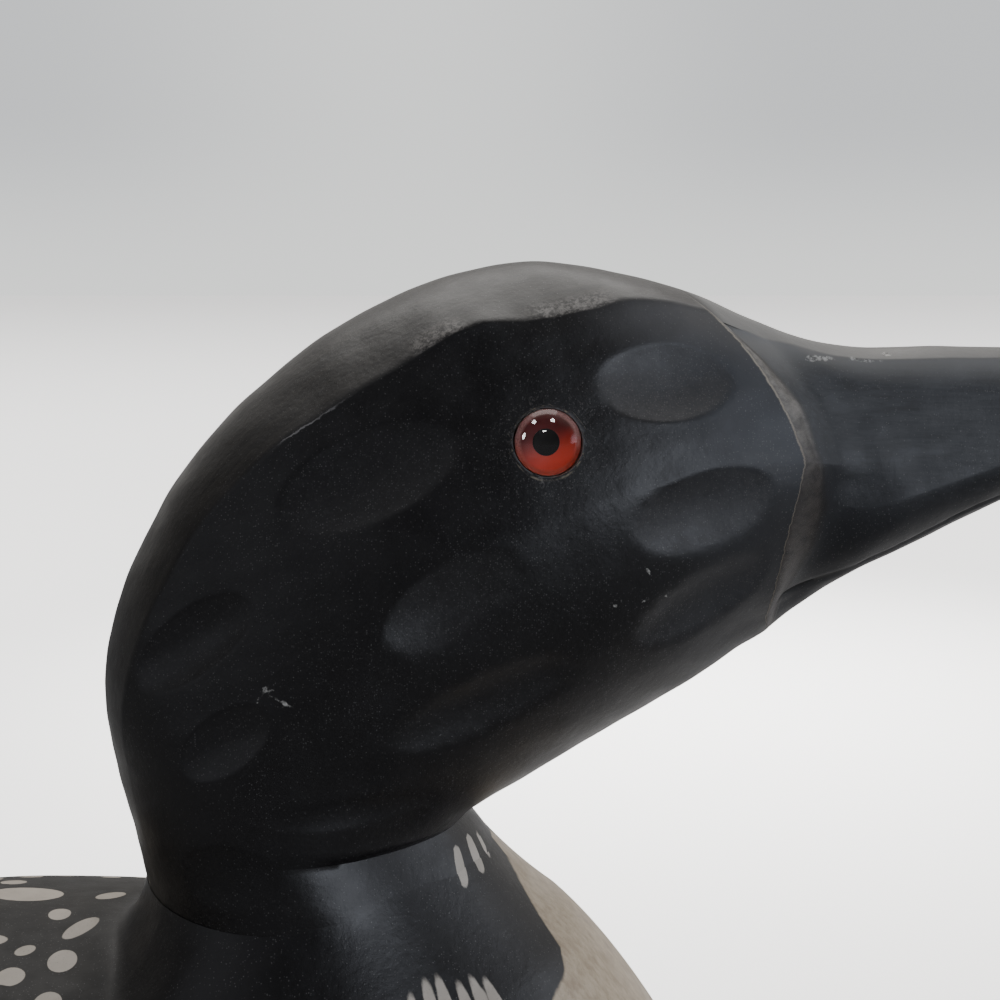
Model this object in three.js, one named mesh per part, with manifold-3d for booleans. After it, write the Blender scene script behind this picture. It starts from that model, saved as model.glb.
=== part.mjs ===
// Bust of a loon decoy: a gouge-carved head block with glass eyes, seated on the breast and
// shoulders, which are cut flat below. Millimetres, +Z up, +X towards the bill. The origin is
// on the flat underside, below the middle of the whole length.
import * as THREE from "three";
import { mergeVertices } from "three/addons/utils/BufferGeometryUtils.js";
import Module from "manifold-3d";

// Driving dimensions of the breast and shoulders
const BODY_LENGTH = 180;
const BODY_WIDTH = 156;
const SHELF_HEIGHT = 62;
const BACK_DROP = 8;
const EDGE_HEIGHT = 5;
const UNDERSIDE_INSET = 2.5;

// Driving dimensions of the head block
const HEAD_HEIGHT = 93.5;
const HEAD_WIDTH = 57;
const NECK_LENGTH = 56.5;
const NECK_WIDTH = 56;
const NECK_BEHIND_BREAST = 68;
const JAW_OVERHANG = 2.6;
const BILL_LENGTH = 76.5;
const BILL_WIDTH = 29;
const GROOVE_DEPTH = 2.2;
const SCOOP_DEPTH = 1.7;

// Driving dimensions of the eyes and the fits
const EYE_DIAMETER = 9;
const EYE_DOME = 2.2;
const EYE_SEAT_DEPTH = 3;
const EYE_CLEARANCE = 0.3;
const JOINT_GAP = 0.3;

// Colours of the paint and the glass
const BLACK_PAINT = new THREE.MeshStandardMaterial({ color: 0x16171a, roughness: 0.45 });
const BODY_PAINT = new THREE.MeshStandardMaterial({ color: 0x1d1d1f, roughness: 0.5 });
const RED_GLASS = new THREE.MeshStandardMaterial({ color: 0xa01812, roughness: 0.08 });

// Places along the length: the middle of the body, the bill's base and the neck
const BODY_MIDDLE_X = NECK_BEHIND_BREAST - BODY_LENGTH / 2;
const BILL_BASE_X = (71.1 * HEAD_HEIGHT) / 100;
const BEHIND_NECK = BODY_LENGTH - NECK_BEHIND_BREAST;
const AHEAD_OF_NECK = Math.max(BILL_BASE_X + BILL_LENGTH, NECK_BEHIND_BREAST);
const NECK_X = (BEHIND_NECK - AHEAD_OF_NECK) / 2;

// Rows of the head block, from the jaw's crease over the skull to the bill. Each row is a rib
// across the head, seen from the side: the crown end's x and z and the throat end's x and z
// in hundredths of HEAD_HEIGHT, the half width as a share of HEAD_WIDTH / 2, the brow's
// place across and down the rib, the widest place down the rib, the power of the cheek's
// curve, where a low one leaves a brow edge, and the rib's bow towards the bill.
const SKULL_ROWS = [
  [-32.5, 11.2, 21.8, 10.8, 0.95, 0.6, 0.1, 0.5, 2.8, 0],
  [-34.8, 20.4, 23.9, 12.9, 0.96, 0.6, 0.1, 0.5, 2.6, 0],
  [-36.3, 31.0, 27.2, 14.8, 0.97, 0.62, 0.1, 0.5, 2.3, 0],
  [-35.0, 42.0, 31.8, 17.3, 0.98, 0.64, 0.104, 0.5, 1.9, 0],
  [-30.8, 53.6, 38.0, 21.1, 0.99, 0.65, 0.108, 0.5, 1.5, 0],
  [-22.3, 68.0, 45.5, 25.5, 1.0, 0.66, 0.108, 0.5, 1.35, 0.5],
  [-8.6, 82.2, 53.0, 29.9, 0.99, 0.66, 0.112, 0.5, 1.3, 2.1],
  [9.6, 94.0, 60.0, 34.1, 0.93, 0.66, 0.12, 0.5, 1.3, 4.8],
  [31.0, 100.0, 65.5, 37.9, 0.81, 0.66, 0.115, 0.51, 1.4, 8.5],
  [53.5, 96.5, 70.0, 40.9, 0.66, 0.62, 0.1, 0.54, 1.9, 11.6],
];

// Rows of the bill: the distance ahead of the bill's base as a share of BILL_LENGTH, the
// culmen's and the lower edge's heights in hundredths of HEAD_HEIGHT, the half width as a
// share of BILL_WIDTH / 2, then as above.
const BILL_ROWS = [
  [-0.045, 0.05, 91.0, 45.0, 1.0, 0.5, 0.07, 0.6, 1.5, 9.0],
  [0.12, 0.16, 87.0, 50.7, 0.84, 0.42, 0.05, 0.66, 1.2, 4.5],
  [0.37, 0.37, 86.7, 59.1, 0.68, 0.42, 0.06, 0.68, 1.15, 1.2],
  [0.67, 0.67, 86.2, 71.4, 0.46, 0.45, 0.08, 0.66, 1.2, 0],
  [0.9, 0.9, 84.3, 79.4, 0.22, 0.5, 0.12, 0.6, 1.5, 0],
  [1.0, 1.0, 83.2, 82.0, 0.07, 0.5, 0.2, 0.5, 2.0, 0],
];

const GROOVE_ROW = SKULL_ROWS.length - 1;
const GROOVE_WALL = 0.08;
const GROOVE_RAMP = 0.8;
const JAW_ROUND = 0.55;
const BOW_PEAK = 0.46;
const FACET_POWER = 1.9;

// Steps of the head's mesh: over half the crown, down the cheek and under the throat
const CROWN_STEPS = 3;
const CHEEK_STEPS = 5;
const THROAT_STEPS = 5;
const ROW_STEPS = 4;
const BILL_ROW_STEPS = 3;
const NECK_STEPS = 3;
const SCOOP_STEPS = [16, 14];

// Gouge cuts on each side of the head: the centre's x and z, the length and the width in
// hundredths of HEAD_HEIGHT, the tilt in degrees and the depth as a share of SCOOP_DEPTH.
const SCOOPS = {
  upperLore: [52.6, 82.2, 22.4, 13.6, 7, 1.0],
  middleLore: [57.4, 64.3, 24.6, 12.2, 15, 1.0],
  lowerLore: [58.2, 49.6, 25.6, 11.2, 22, 1.0],
  behindEye: [8.3, 68.8, 32.0, 16.0, 21, 1.0],
  cheek: [20.9, 52.2, 25.0, 11.6, 33, 1.0],
  jaw: [25.0, 36.6, 32.0, 10.4, 21, 1.0],
  nape: [-18.0, 43.8, 25.0, 11.4, 30, 1.0],
  lowerNape: [-12.5, 30.2, 18.0, 9.6, 34, 0.9],
  underJaw: [5.6, 19.4, 30.0, 5.6, 2, 0.4],
  neck: [-12.8, 9.6, 17.0, 11.6, 0, 0.8],
};

// Rows of the body from the breast to the cut behind the shoulders: the distance behind the
// breast as a share of BODY_LENGTH, the half width as a share of BODY_WIDTH / 2, the top's
// height above the edge as a share of the back's, and the power of the section's upper curve,
// where a low one gives the back its ridge.
const BODY_ROWS = [
  [0.0, 0.0, 0.0, 1.7],
  [0.011, 0.22, 0.13, 1.7],
  [0.044, 0.4, 0.3, 1.7],
  [0.1, 0.565, 0.565, 1.65],
  [0.161, 0.69, 0.85, 1.6],
  [0.244, 0.81, 0.98, 1.5],
  [0.35, 0.92, 1.0, 1.46],
  [0.49, 0.99, 1.0, 1.48],
  [0.62, 0.99, 1.03, 1.5],
  [0.735, 0.93, 1.04, 1.5],
  [0.83, 0.8, 0.97, 1.55],
  [0.905, 0.61, 0.82, 1.6],
  [0.957, 0.41, 0.56, 1.65],
  [0.989, 0.2, 0.27, 1.7],
  [1.0, 0.0, 0.0, 1.7],
];

// Steps of the body's mesh: each row, outwards over the back, and down to the underside
const BODY_ROW_STEPS = 2;
const SHOULDER_SPREAD = 21;
const SHOULDER_SHARES = [0, 0.1, 0.24, 0.43, 0.67, 1];
const BACK_STEPS = 8;
const ROLL_STEPS = 3;
const FILLET = 4;
const SHOULDER_SLOPES = { breast: 0.85, side: 1.1, back: 3 };
const SHOULDER_REACH = 55;

const wasm = await Module();
wasm.setup();

// A smooth curve through four values, from b to c as f goes from 0 to 1.
function spline(a, b, c, d, f) {
  const straight = 2 * b + (c - a) * f;
  const curved = (2 * a - 5 * b + 4 * c - d) * f * f + (3 * b - a - 3 * c + d) * f * f * f;
  return 0.5 * (straight + curved);
}

// The row at place u in a table, between its rows by the smooth curve.
function rowAt(rows, u) {
  const last = rows.length - 1;
  const i = Math.min(Math.max(Math.floor(u), 0), last - 1);
  const before = rows[i - 1] ?? rows[i].map((v, k) => 2 * v - rows[i + 1][k]);
  const after = rows[i + 2] ?? rows[i + 1].map((v, k) => 2 * v - rows[i][k]);
  return rows[i].map((v, k) => spline(before[k], v, rows[i + 1][k], after[k], u - i));
}

function smoothStep(low, high, value) {
  return THREE.MathUtils.smoothstep(value, low, high);
}

// The larger of two heights, blended over a fillet.
function filletMax(a, b, reach) {
  const h = Math.max(reach - Math.abs(a - b), 0) / reach;
  return Math.max(a, b) + (h * h * reach) / 4;
}

// A closed geometry from a point, closed rings of equal length and a last point.
function ringSolid(first, rings, last) {
  const points = [first, ...rings.flat(), last];
  const n = rings[0].length;
  const index = [];
  for (let k = 0; k < n; k++) {
    const next = (k + 1) % n;
    index.push(0, 1 + next, 1 + k);
    for (let r = 0; r + 1 < rings.length; r++) {
      const low = 1 + r * n;
      const high = low + n;
      index.push(low + k, low + next, high + k, low + next, high + next, high + k);
    }
    const end = 1 + (rings.length - 1) * n;
    index.push(end + k, end + next, points.length - 1);
  }
  const geometry = new THREE.BufferGeometry();
  geometry.setAttribute("position", new THREE.Float32BufferAttribute(points.flatMap((p) => p.toArray()), 3));
  geometry.setIndex(index);
  return geometry;
}

function solidOf(geometry) {
  const bare = geometry.clone();
  bare.deleteAttribute("normal");
  bare.deleteAttribute("uv");
  const merged = mergeVertices(bare, 1e-4);
  const vertProperties = new Float32Array(merged.attributes.position.array);
  const triVerts = new Uint32Array(merged.index.array);
  return new wasm.Manifold(new wasm.Mesh({ numProp: 3, vertProperties, triVerts }));
}

function geometryOf(solid) {
  const mesh = solid.getMesh();
  const geometry = new THREE.BufferGeometry();
  geometry.setAttribute("position", new THREE.BufferAttribute(mesh.vertProperties, 3));
  geometry.setIndex(new THREE.BufferAttribute(mesh.triVerts, 1));
  geometry.computeVertexNormals();
  return geometry;
}

// The head's rows in millimetres, with the neck centre on the seam as origin.
const percent = HEAD_HEIGHT / 100;
const skullRows = SKULL_ROWS.map(([cx, cz, tx, tz, half, browY, browDrop, widest, power, bow]) => [
  cx * percent, cz * percent, tx * percent, tz * percent,
  (half * HEAD_WIDTH) / 2, browY, browDrop, widest, power, bow * percent,
]);
const billRows = BILL_ROWS.map(([cx, tx, cz, tz, half, browY, browDrop, widest, power, bow]) => [
  BILL_BASE_X + cx * BILL_LENGTH, cz * percent, BILL_BASE_X + tx * BILL_LENGTH, tz * percent,
  (half * BILL_WIDTH) / 2, browY, browDrop, widest, power, bow * percent,
]);
const headRows = [...skullRows, ...billRows];
const seamRow = [-NECK_LENGTH / 2, 0, NECK_LENGTH / 2, 0, NECK_WIDTH / 2, 0.6, 0.1, 0.5, 2.8, 0];
const neckRows = [seamRow, headRows[0]];

// How far the neck's or jaw's side is drawn in, as a share of the half width. The neck is
// narrow under the jaw and flares to the seam; the jaw's lower edge is rounded.
function drawnIn(inNeck, u, down, half) {
  const front = smoothStep(0.42, 0.7, down);
  const rise = inNeck ? 1 - (1 - u) ** 2 : 1 - Math.sqrt(1 - (1 - Math.min(u / JAW_ROUND, 1)) ** 2);
  return (JAW_OVERHANG / half) * front * rise;
}

// The groove at the bill's base: a steep wall, then a ramp up to the bill's side.
function grooveInset(u, down) {
  const past = u - GROOVE_ROW;
  if (past <= 0 || past >= GROOVE_WALL + GROOVE_RAMP) return 0;
  const profile = past < GROOVE_WALL ? past / GROOVE_WALL : 1 - (past - GROOVE_WALL) / GROOVE_RAMP;
  return GROOVE_DEPTH * profile * smoothStep(0, 0.1, down) * (1 - smoothStep(0.94, 1, down));
}

// The rib's bow towards the bill, from 0 at its ends to 1 at the groove's point.
function bowShape(down) {
  if (down < BOW_PEAK) return Math.sin((Math.PI / 2) * (down / BOW_PEAK) ** 0.75);
  return Math.cos((Math.PI / 2) * Math.min((down - BOW_PEAK) / BOW_PEAK, 1) ** 0.9);
}

// A point of the head's right side: part 0 is the crown's facet, 1 the cheek and 2 the
// throat, and f goes from 0 to 1 along that part.
function headPoint(inNeck, u, part, f) {
  const row = rowAt(inNeck ? neckRows : headRows, u);
  const [crownX, crownZ, throatX, throatZ, half, browY, browDrop, widest, power, bow] = row;
  let across = 0;
  let down = 0;
  if (part === 0) {
    across = browY * f;
    down = browDrop * f ** FACET_POWER;
  } else if (part === 1) {
    across = browY + (1 - browY) * (1 - (1 - f) ** power);
    down = browDrop + (widest - browDrop) * f;
  } else {
    const turn = (Math.PI / 2) * f;
    across = f === 1 ? 0 : Math.cos(turn);
    down = widest + (1 - widest) * Math.sin(turn);
  }
  const inset = inNeck ? 0 : grooveInset(u, down);
  const side = Math.max(across * half * (1 - drawnIn(inNeck, u, down, half)) - inset, 0);
  const x = crownX + (throatX - crownX) * down + bow * bowShape(down);
  return new THREE.Vector3(x, -side, crownZ + (throatZ - crownZ) * down);
}

// A closed ring across the head: down the right side and up the left one.
function headRing(inNeck, u) {
  const steps = [CROWN_STEPS, CHEEK_STEPS, THROAT_STEPS];
  const right = steps.flatMap((count, part) =>
    Array.from({ length: count }, (_, k) => headPoint(inNeck, u, part, k / count)),
  );
  right.push(headPoint(inNeck, u, 2, 1));
  const left = right.slice(1, -1).reverse().map((p) => new THREE.Vector3(p.x, -p.y, p.z));
  return [...right, ...left];
}

function middleOf(ring) {
  return ring.reduce((sum, p) => sum.add(p), new THREE.Vector3()).divideScalar(ring.length);
}

// The uncut head block: neck, skull and bill as one solid.
function headBlank() {
  const places = [];
  for (let k = 0; k < NECK_STEPS; k++) places.push([true, k / NECK_STEPS]);
  for (const u of [0, 0.03, 0.12, 0.28]) places.push([false, u]);
  const last = headRows.length - 1;
  for (let k = 2; k <= GROOVE_ROW * ROW_STEPS; k++) places.push([false, k / ROW_STEPS]);
  for (const past of [GROOVE_WALL, GROOVE_WALL + GROOVE_RAMP / 2, GROOVE_WALL + GROOVE_RAMP]) {
    places.push([false, GROOVE_ROW + past]);
  }
  for (let k = BILL_ROW_STEPS; k <= (last - GROOVE_ROW) * BILL_ROW_STEPS; k++) {
    places.push([false, GROOVE_ROW + k / BILL_ROW_STEPS]);
  }
  const rings = places.map(([inNeck, u]) => headRing(inNeck, u));
  return ringSolid(middleOf(rings[0]), rings, middleOf(rings[rings.length - 1]));
}

// The surface point and outward normal of the blank's side at x and z.
function surfaceAt(blank, x, z, side) {
  const origin = new THREE.Vector3(x, side * HEAD_WIDTH, z);
  const ray = new THREE.Raycaster(origin, new THREE.Vector3(0, -side, 0));
  const hit = ray.intersectObject(new THREE.Mesh(blank, new THREE.MeshBasicMaterial()))[0];
  return { point: hit.point, normal: hit.face.normal.clone() };
}

// An ellipsoid that leaves an oval hollow of the given length, width and depth.
function gouge(surface, length, width, tilt, depth) {
  const radius = (width * width / 4 + depth * depth) / (2 * depth);
  const stretch = length / width;
  const along = new THREE.Vector3(Math.cos(tilt), 0, Math.sin(tilt));
  const up = surface.normal;
  along.addScaledVector(up, -along.dot(up)).normalize();
  const across = new THREE.Vector3().crossVectors(up, along);
  const shape = new THREE.SphereGeometry(radius, ...SCOOP_STEPS);
  const turn = new THREE.Matrix4().makeBasis(along, up, across.negate());
  turn.scale(new THREE.Vector3(stretch, 1, 1));
  turn.setPosition(surface.point.clone().addScaledVector(up, radius - depth));
  return solidOf(shape.applyMatrix4(turn));
}

// The eye's place: its centre on the cheek, and the direction it looks in.
const EYE_PLACE = { x: 34.6 * percent, z: 73.8 * percent };
const EYE_TILT = { ahead: 0.1, up: 0.12 };
const EYE_SIDES = 24;

function eyeAxis(side) {
  return new THREE.Vector3(EYE_TILT.ahead, side, EYE_TILT.up).normalize();
}

// Turns a shape made along +Y so that it looks along the eye's axis from the eye's place.
function seatAtEye(geometry, blank, side) {
  const { point } = surfaceAt(blank, EYE_PLACE.x, EYE_PLACE.z, side);
  const turn = new THREE.Quaternion().setFromUnitVectors(new THREE.Vector3(0, 1, 0), eyeAxis(side));
  return geometry.applyQuaternion(turn).translate(point.x, point.y, point.z);
}

// The drilled seat that a glass eye sits in.
function eyeSocket(blank, side) {
  const radius = EYE_DIAMETER / 2 + EYE_CLEARANCE;
  const depth = EYE_SEAT_DEPTH + EYE_CLEARANCE;
  const reach = EYE_DIAMETER;
  const drill = new THREE.CylinderGeometry(radius, radius, depth + reach, EYE_SIDES);
  drill.translate(0, (reach - depth) / 2, 0);
  return solidOf(seatAtEye(drill, blank, side));
}

// A flat-backed glass eye with a domed front.
function eyeGeometry(blank, side) {
  const radius = EYE_DIAMETER / 2;
  const curve = (radius * radius + EYE_DOME * EYE_DOME) / (2 * EYE_DOME);
  const profile = [new THREE.Vector2(0, -EYE_SEAT_DEPTH), new THREE.Vector2(radius, -EYE_SEAT_DEPTH)];
  const rimAngle = Math.asin(radius / curve);
  const steps = 4;
  for (let k = 0; k <= steps; k++) {
    const angle = rimAngle * (1 - k / steps);
    const x = k === steps ? 0 : curve * Math.sin(angle);
    profile.push(new THREE.Vector2(x, curve * Math.cos(angle) - curve + EYE_DOME));
  }
  return seatAtEye(new THREE.LatheGeometry(profile, EYE_SIDES), blank, side);
}

function headGeometry(blank) {
  let solid = solidOf(blank);
  for (const side of [-1, 1]) {
    for (const [x, z, length, width, tilt, depth] of Object.values(SCOOPS)) {
      const surface = surfaceAt(blank, x * percent, z * percent, side);
      const angle = THREE.MathUtils.degToRad(tilt);
      const cut = gouge(surface, length * percent, width * percent, angle, depth * SCOOP_DEPTH);
      solid = solid.subtract(cut);
    }
    solid = solid.subtract(eyeSocket(blank, side));
  }
  return geometryOf(solid);
}

// The body's rows in millimetres, with the neck centre above the underside as origin.
const backHeight = SHELF_HEIGHT - BACK_DROP;
const bodyRows = BODY_ROWS.map(([behind, half, top, power]) => [
  NECK_BEHIND_BREAST - behind * BODY_LENGTH,
  (half * BODY_WIDTH) / 2,
  EDGE_HEIGHT + top * (backHeight - EDGE_HEIGHT),
  power,
]);
const mirroredRows = [
  bodyRows[1].map((v, k) => (k === 1 ? -v : v)),
  ...bodyRows,
  bodyRows[bodyRows.length - 2].map((v, k) => (k === 1 ? -v : v)),
];
const lastBodyRow = bodyRows.length - 1;

function bodyRow(u) {
  return rowAt(mirroredRows, u + 1);
}

// The body's row at a distance x ahead of the neck centre.
function bodyRowAtX(x) {
  let low = 0;
  let high = lastBodyRow;
  for (let k = 0; k < 30; k++) {
    const middle = (low + high) / 2;
    if (bodyRow(middle)[0] > x) low = middle;
    else high = middle;
  }
  return bodyRow((low + high) / 2);
}

// The body's upper surface at a place in plan, without the shoulder round the neck.
function backSurface(x, y) {
  const [, half, top, power] = bodyRowAtX(x);
  const share = half > 0 ? Math.min(Math.abs(y) / half, 1) : 1;
  return EDGE_HEIGHT + (top - EDGE_HEIGHT) * Math.sqrt(1 - share ** power);
}

// The neck's outline on the seam, from the nape at 0 to the throat at 1.
function seamOutline(f) {
  const total = CROWN_STEPS + CHEEK_STEPS + THROAT_STEPS;
  const place = f * total;
  if (place < CROWN_STEPS) return headPoint(true, 0, 0, place / CROWN_STEPS);
  if (place < CROWN_STEPS + CHEEK_STEPS) return headPoint(true, 0, 1, (place - CROWN_STEPS) / CHEEK_STEPS);
  return headPoint(true, 0, 2, (place - CROWN_STEPS - CHEEK_STEPS) / THROAT_STEPS);
}

// How steeply the shoulder falls away from the neck, from the breast at 0 to the back at 1.
function shoulderSlope(along) {
  const { breast, side, back } = SHOULDER_SLOPES;
  if (along < 0.5) return THREE.MathUtils.lerp(breast, side, smoothStep(0.1, 0.5, along));
  return THREE.MathUtils.lerp(side, back, smoothStep(0.6, 0.95, along));
}

// A line of the body's right side: out from the neck over the back to the edge, then rolled
// in to the underside.
function bodyLine(u) {
  const along = u / lastBodyRow;
  const neck = seamOutline(1 - along);
  const [edgeX, edgeY] = bodyRow(u);
  const line = [];
  const reach = Math.hypot(edgeX - neck.x, edgeY + neck.y);
  const near = SHOULDER_SPREAD / reach;
  const places = SHOULDER_SHARES.map((share) => share * near);
  for (let k = 1; k <= BACK_STEPS; k++) {
    places.push(near + (1 - near) * Math.sin((Math.PI / 2) * (k / BACK_STEPS)));
  }
  for (const f of places) {
    const x = THREE.MathUtils.lerp(neck.x, edgeX, f);
    const y = THREE.MathUtils.lerp(neck.y, -edgeY, f);
    const away = f * reach;
    const shoulder = SHELF_HEIGHT - shoulderSlope(along) * away * (1 + away / SHOULDER_REACH);
    const height = f === 1 ? EDGE_HEIGHT : filletMax(shoulder, backSurface(x, y), FILLET);
    line.push(new THREE.Vector3(x, y, Math.min(height, SHELF_HEIGHT)));
  }
  for (let k = 1; k <= ROLL_STEPS; k++) {
    const turn = (Math.PI / 2) * (k / ROLL_STEPS);
    const inset = 2 * UNDERSIDE_INSET * (1 - Math.cos(turn));
    const x = BODY_MIDDLE_X + (edgeX - BODY_MIDDLE_X) * (1 - inset / BODY_LENGTH);
    const y = -edgeY * (1 - inset / BODY_WIDTH);
    line.push(new THREE.Vector3(x, y, k === ROLL_STEPS ? 0 : EDGE_HEIGHT * (1 - Math.sin(turn))));
  }
  return line;
}

function bodyGeometry() {
  const right = [];
  for (let k = 0; k <= lastBodyRow * BODY_ROW_STEPS; k++) right.push(bodyLine(k / BODY_ROW_STEPS));
  const left = right.slice(1, -1).reverse();
  const mirrored = left.map((line) => line.map((p) => new THREE.Vector3(p.x, -p.y, p.z)));
  const lines = [...right, ...mirrored];
  const rings = right[0].map((_, r) => lines.map((line) => line[r]));
  const shelf = new THREE.Vector3(0, 0, SHELF_HEIGHT);
  const under = new THREE.Vector3(BODY_MIDDLE_X, 0, 0);
  return ringSolid(shelf, rings, under);
}

function named(name, geometry, material, height) {
  const mesh = new THREE.Mesh(geometry, material);
  mesh.name = name;
  mesh.position.set(NECK_X, 0, height);
  return mesh;
}

const blank = headBlank();
const headSeat = SHELF_HEIGHT + JOINT_GAP;
const bust = new THREE.Group();
bust.add(named("body", geometryOf(solidOf(bodyGeometry())), BODY_PAINT, 0));
bust.add(named("head", headGeometry(blank), BLACK_PAINT, headSeat));
bust.add(named("eye_right", eyeGeometry(blank, -1), RED_GLASS, headSeat));
bust.add(named("eye_left", eyeGeometry(blank, 1), RED_GLASS, headSeat));

export default bust;
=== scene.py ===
"""Looks of a loon decoy's bust: a gouge-carved, black-painted head with red glass eyes on a
block of breast and shoulders. The frame is the CAD model, in metres, +Z up, +X to the bill."""
import math

import bpy
import numpy as np
from mathutils import Matrix, Vector

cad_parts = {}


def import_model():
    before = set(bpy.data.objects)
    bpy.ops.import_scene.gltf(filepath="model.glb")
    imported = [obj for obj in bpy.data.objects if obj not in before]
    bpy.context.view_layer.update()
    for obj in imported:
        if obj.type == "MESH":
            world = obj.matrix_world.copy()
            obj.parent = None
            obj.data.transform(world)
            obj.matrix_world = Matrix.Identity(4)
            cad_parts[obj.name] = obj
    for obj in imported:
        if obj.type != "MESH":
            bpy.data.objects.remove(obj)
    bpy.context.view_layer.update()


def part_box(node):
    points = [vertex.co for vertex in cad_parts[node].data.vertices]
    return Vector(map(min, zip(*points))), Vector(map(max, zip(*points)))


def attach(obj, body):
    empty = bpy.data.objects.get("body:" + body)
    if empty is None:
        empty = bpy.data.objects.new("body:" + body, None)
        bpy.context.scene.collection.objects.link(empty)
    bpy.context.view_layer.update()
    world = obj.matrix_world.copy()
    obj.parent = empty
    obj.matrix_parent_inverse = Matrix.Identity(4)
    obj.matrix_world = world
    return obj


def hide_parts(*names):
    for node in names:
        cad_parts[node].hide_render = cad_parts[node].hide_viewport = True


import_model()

# Driving dimensions, in millimetres, the same as the CAD model's
BODY_LENGTH = 180.0
BODY_WIDTH = 156.0
SHELF_HEIGHT = 62.0
BACK_DROP = 8.0
EDGE_HEIGHT = 5.0
UNDERSIDE_INSET = 2.5
HEAD_HEIGHT = 93.5
HEAD_WIDTH = 57.0
NECK_LENGTH = 56.5
NECK_WIDTH = 56.0
NECK_BEHIND_BREAST = 68.0
JAW_OVERHANG = 2.6
BILL_LENGTH = 76.5
BILL_WIDTH = 29.0
GROOVE_DEPTH = 2.2
SCOOP_DEPTH = 1.35
EYE_DIAMETER = 9.0
EYE_DOME = 2.2
EYE_SEAT_DEPTH = 3.0
EYE_CLEARANCE = 0.2
MM = 0.001

# The eye's parts, in millimetres, with heights counted outwards from the cheek. The pupil's face
# and back are counted from the iris's face, and the pupil lies a little behind the eye's middle.
# The cutter of the eye's seat reaches out to CUTTER_TOP.
GLASS_BACK = 0.5
IRIS_FACE = 0.05 - GLASS_BACK
IRIS_BACK = 0.3 - EYE_SEAT_DEPTH
IRIS_INSET = 0.05
PUPIL_RADIUS = 1.58
PUPIL_FACE = 0.04
PUPIL_BACK = -0.1
PUPIL_BEHIND = 0.27
CUTTER_TOP = 4.0

# The head's paint stands this far off the body's
PAINTED_GAP = 0.03

# Places along the length
PERCENT = HEAD_HEIGHT / 100
BODY_MIDDLE_X = NECK_BEHIND_BREAST - BODY_LENGTH / 2
BILL_BASE_X = 71.1 * PERCENT
BEHIND_NECK = BODY_LENGTH - NECK_BEHIND_BREAST
AHEAD_OF_NECK = max(BILL_BASE_X + BILL_LENGTH, NECK_BEHIND_BREAST)
NECK_X = (BEHIND_NECK - AHEAD_OF_NECK) / 2
HEAD_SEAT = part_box("head")[0].z / MM

# Rows of the head block, from the jaw's crease over the skull to the bill, each a rib across
# the head seen from the side: the crown end's x and z and the throat end's x and z in
# hundredths of HEAD_HEIGHT, the half width as a share of HEAD_WIDTH / 2, the brow's place
# across and down the rib, the widest place down it, the power of the cheek's curve and the
# rib's bow towards the bill.
SKULL_ROWS = [
    [-32.5, 11.2, 21.8, 10.8, 0.95, 0.6, 0.1, 0.5, 2.8, 0],
    [-34.8, 20.4, 23.9, 12.9, 0.96, 0.6, 0.1, 0.5, 2.6, 0],
    [-36.3, 31.0, 27.2, 14.8, 0.97, 0.62, 0.1, 0.5, 2.3, 0],
    [-35.0, 42.0, 31.8, 17.3, 0.98, 0.64, 0.104, 0.5, 1.9, 0],
    [-30.8, 53.6, 38.0, 21.1, 0.99, 0.65, 0.108, 0.5, 1.5, 0],
    [-22.3, 68.0, 45.5, 25.5, 1.0, 0.66, 0.108, 0.5, 1.35, 0.5],
    [-8.6, 82.2, 53.0, 29.9, 0.99, 0.66, 0.112, 0.5, 1.3, 2.1],
    [9.6, 94.0, 60.0, 34.1, 0.93, 0.66, 0.12, 0.5, 1.3, 4.8],
    [31.0, 100.0, 65.5, 37.9, 0.81, 0.66, 0.115, 0.51, 1.4, 8.5],
    [53.5, 96.5, 70.0, 40.9, 0.66, 0.62, 0.1, 0.54, 1.9, 11.6],
]

# Rows of the bill, as above, but with both ends' x as shares of BILL_LENGTH ahead of the bill's
# base and the half width as a share of BILL_WIDTH / 2.
BILL_ROWS = [
    [-0.045, 91.0, 0.05, 45.0, 1.0, 0.5, 0.07, 0.6, 1.5, 9.0],
    [0.12, 87.0, 0.16, 50.7, 0.9, 0.42, 0.05, 0.66, 1.2, 4.5],
    [0.37, 86.7, 0.37, 59.1, 0.69, 0.42, 0.06, 0.68, 1.15, 1.2],
    [0.67, 86.2, 0.67, 71.4, 0.46, 0.45, 0.08, 0.66, 1.2, 0],
    [0.9, 84.3, 0.9, 79.4, 0.22, 0.5, 0.12, 0.6, 1.5, 0],
    [1.0, 83.2, 1.0, 82.0, 0.07, 0.5, 0.2, 0.5, 2.0, 0],
]

# The step at the bill's base has its edge on a row. The width of its wall, in millimetres, goes by
# how far down the rib it lies, and ahead of the wall the bill rises again over the ramp.
GROOVE_ROW = len(SKULL_ROWS) - 1
GROOVE_RAMP = 14.0
WALL_WIDTHS = [
    (0, 0.9), (0.12, 3.2), (0.28, 5.0), (0.42, 3.6), (0.5, 4.0),
    (0.61, 6.4), (0.75, 6.4), (0.9, 4.0), (1, 0.8),
]

# Over how many rows the jaw's overhang rounds in, how far down the rib the bow peaks, how soft the
# step's point is there, and the power of the crown facet's curve
JAW_ROUND = 0.55
BOW_PEAK = 0.46
POINT_SOFTNESS = 0.04
FACET_POWER = 1.9

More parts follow.
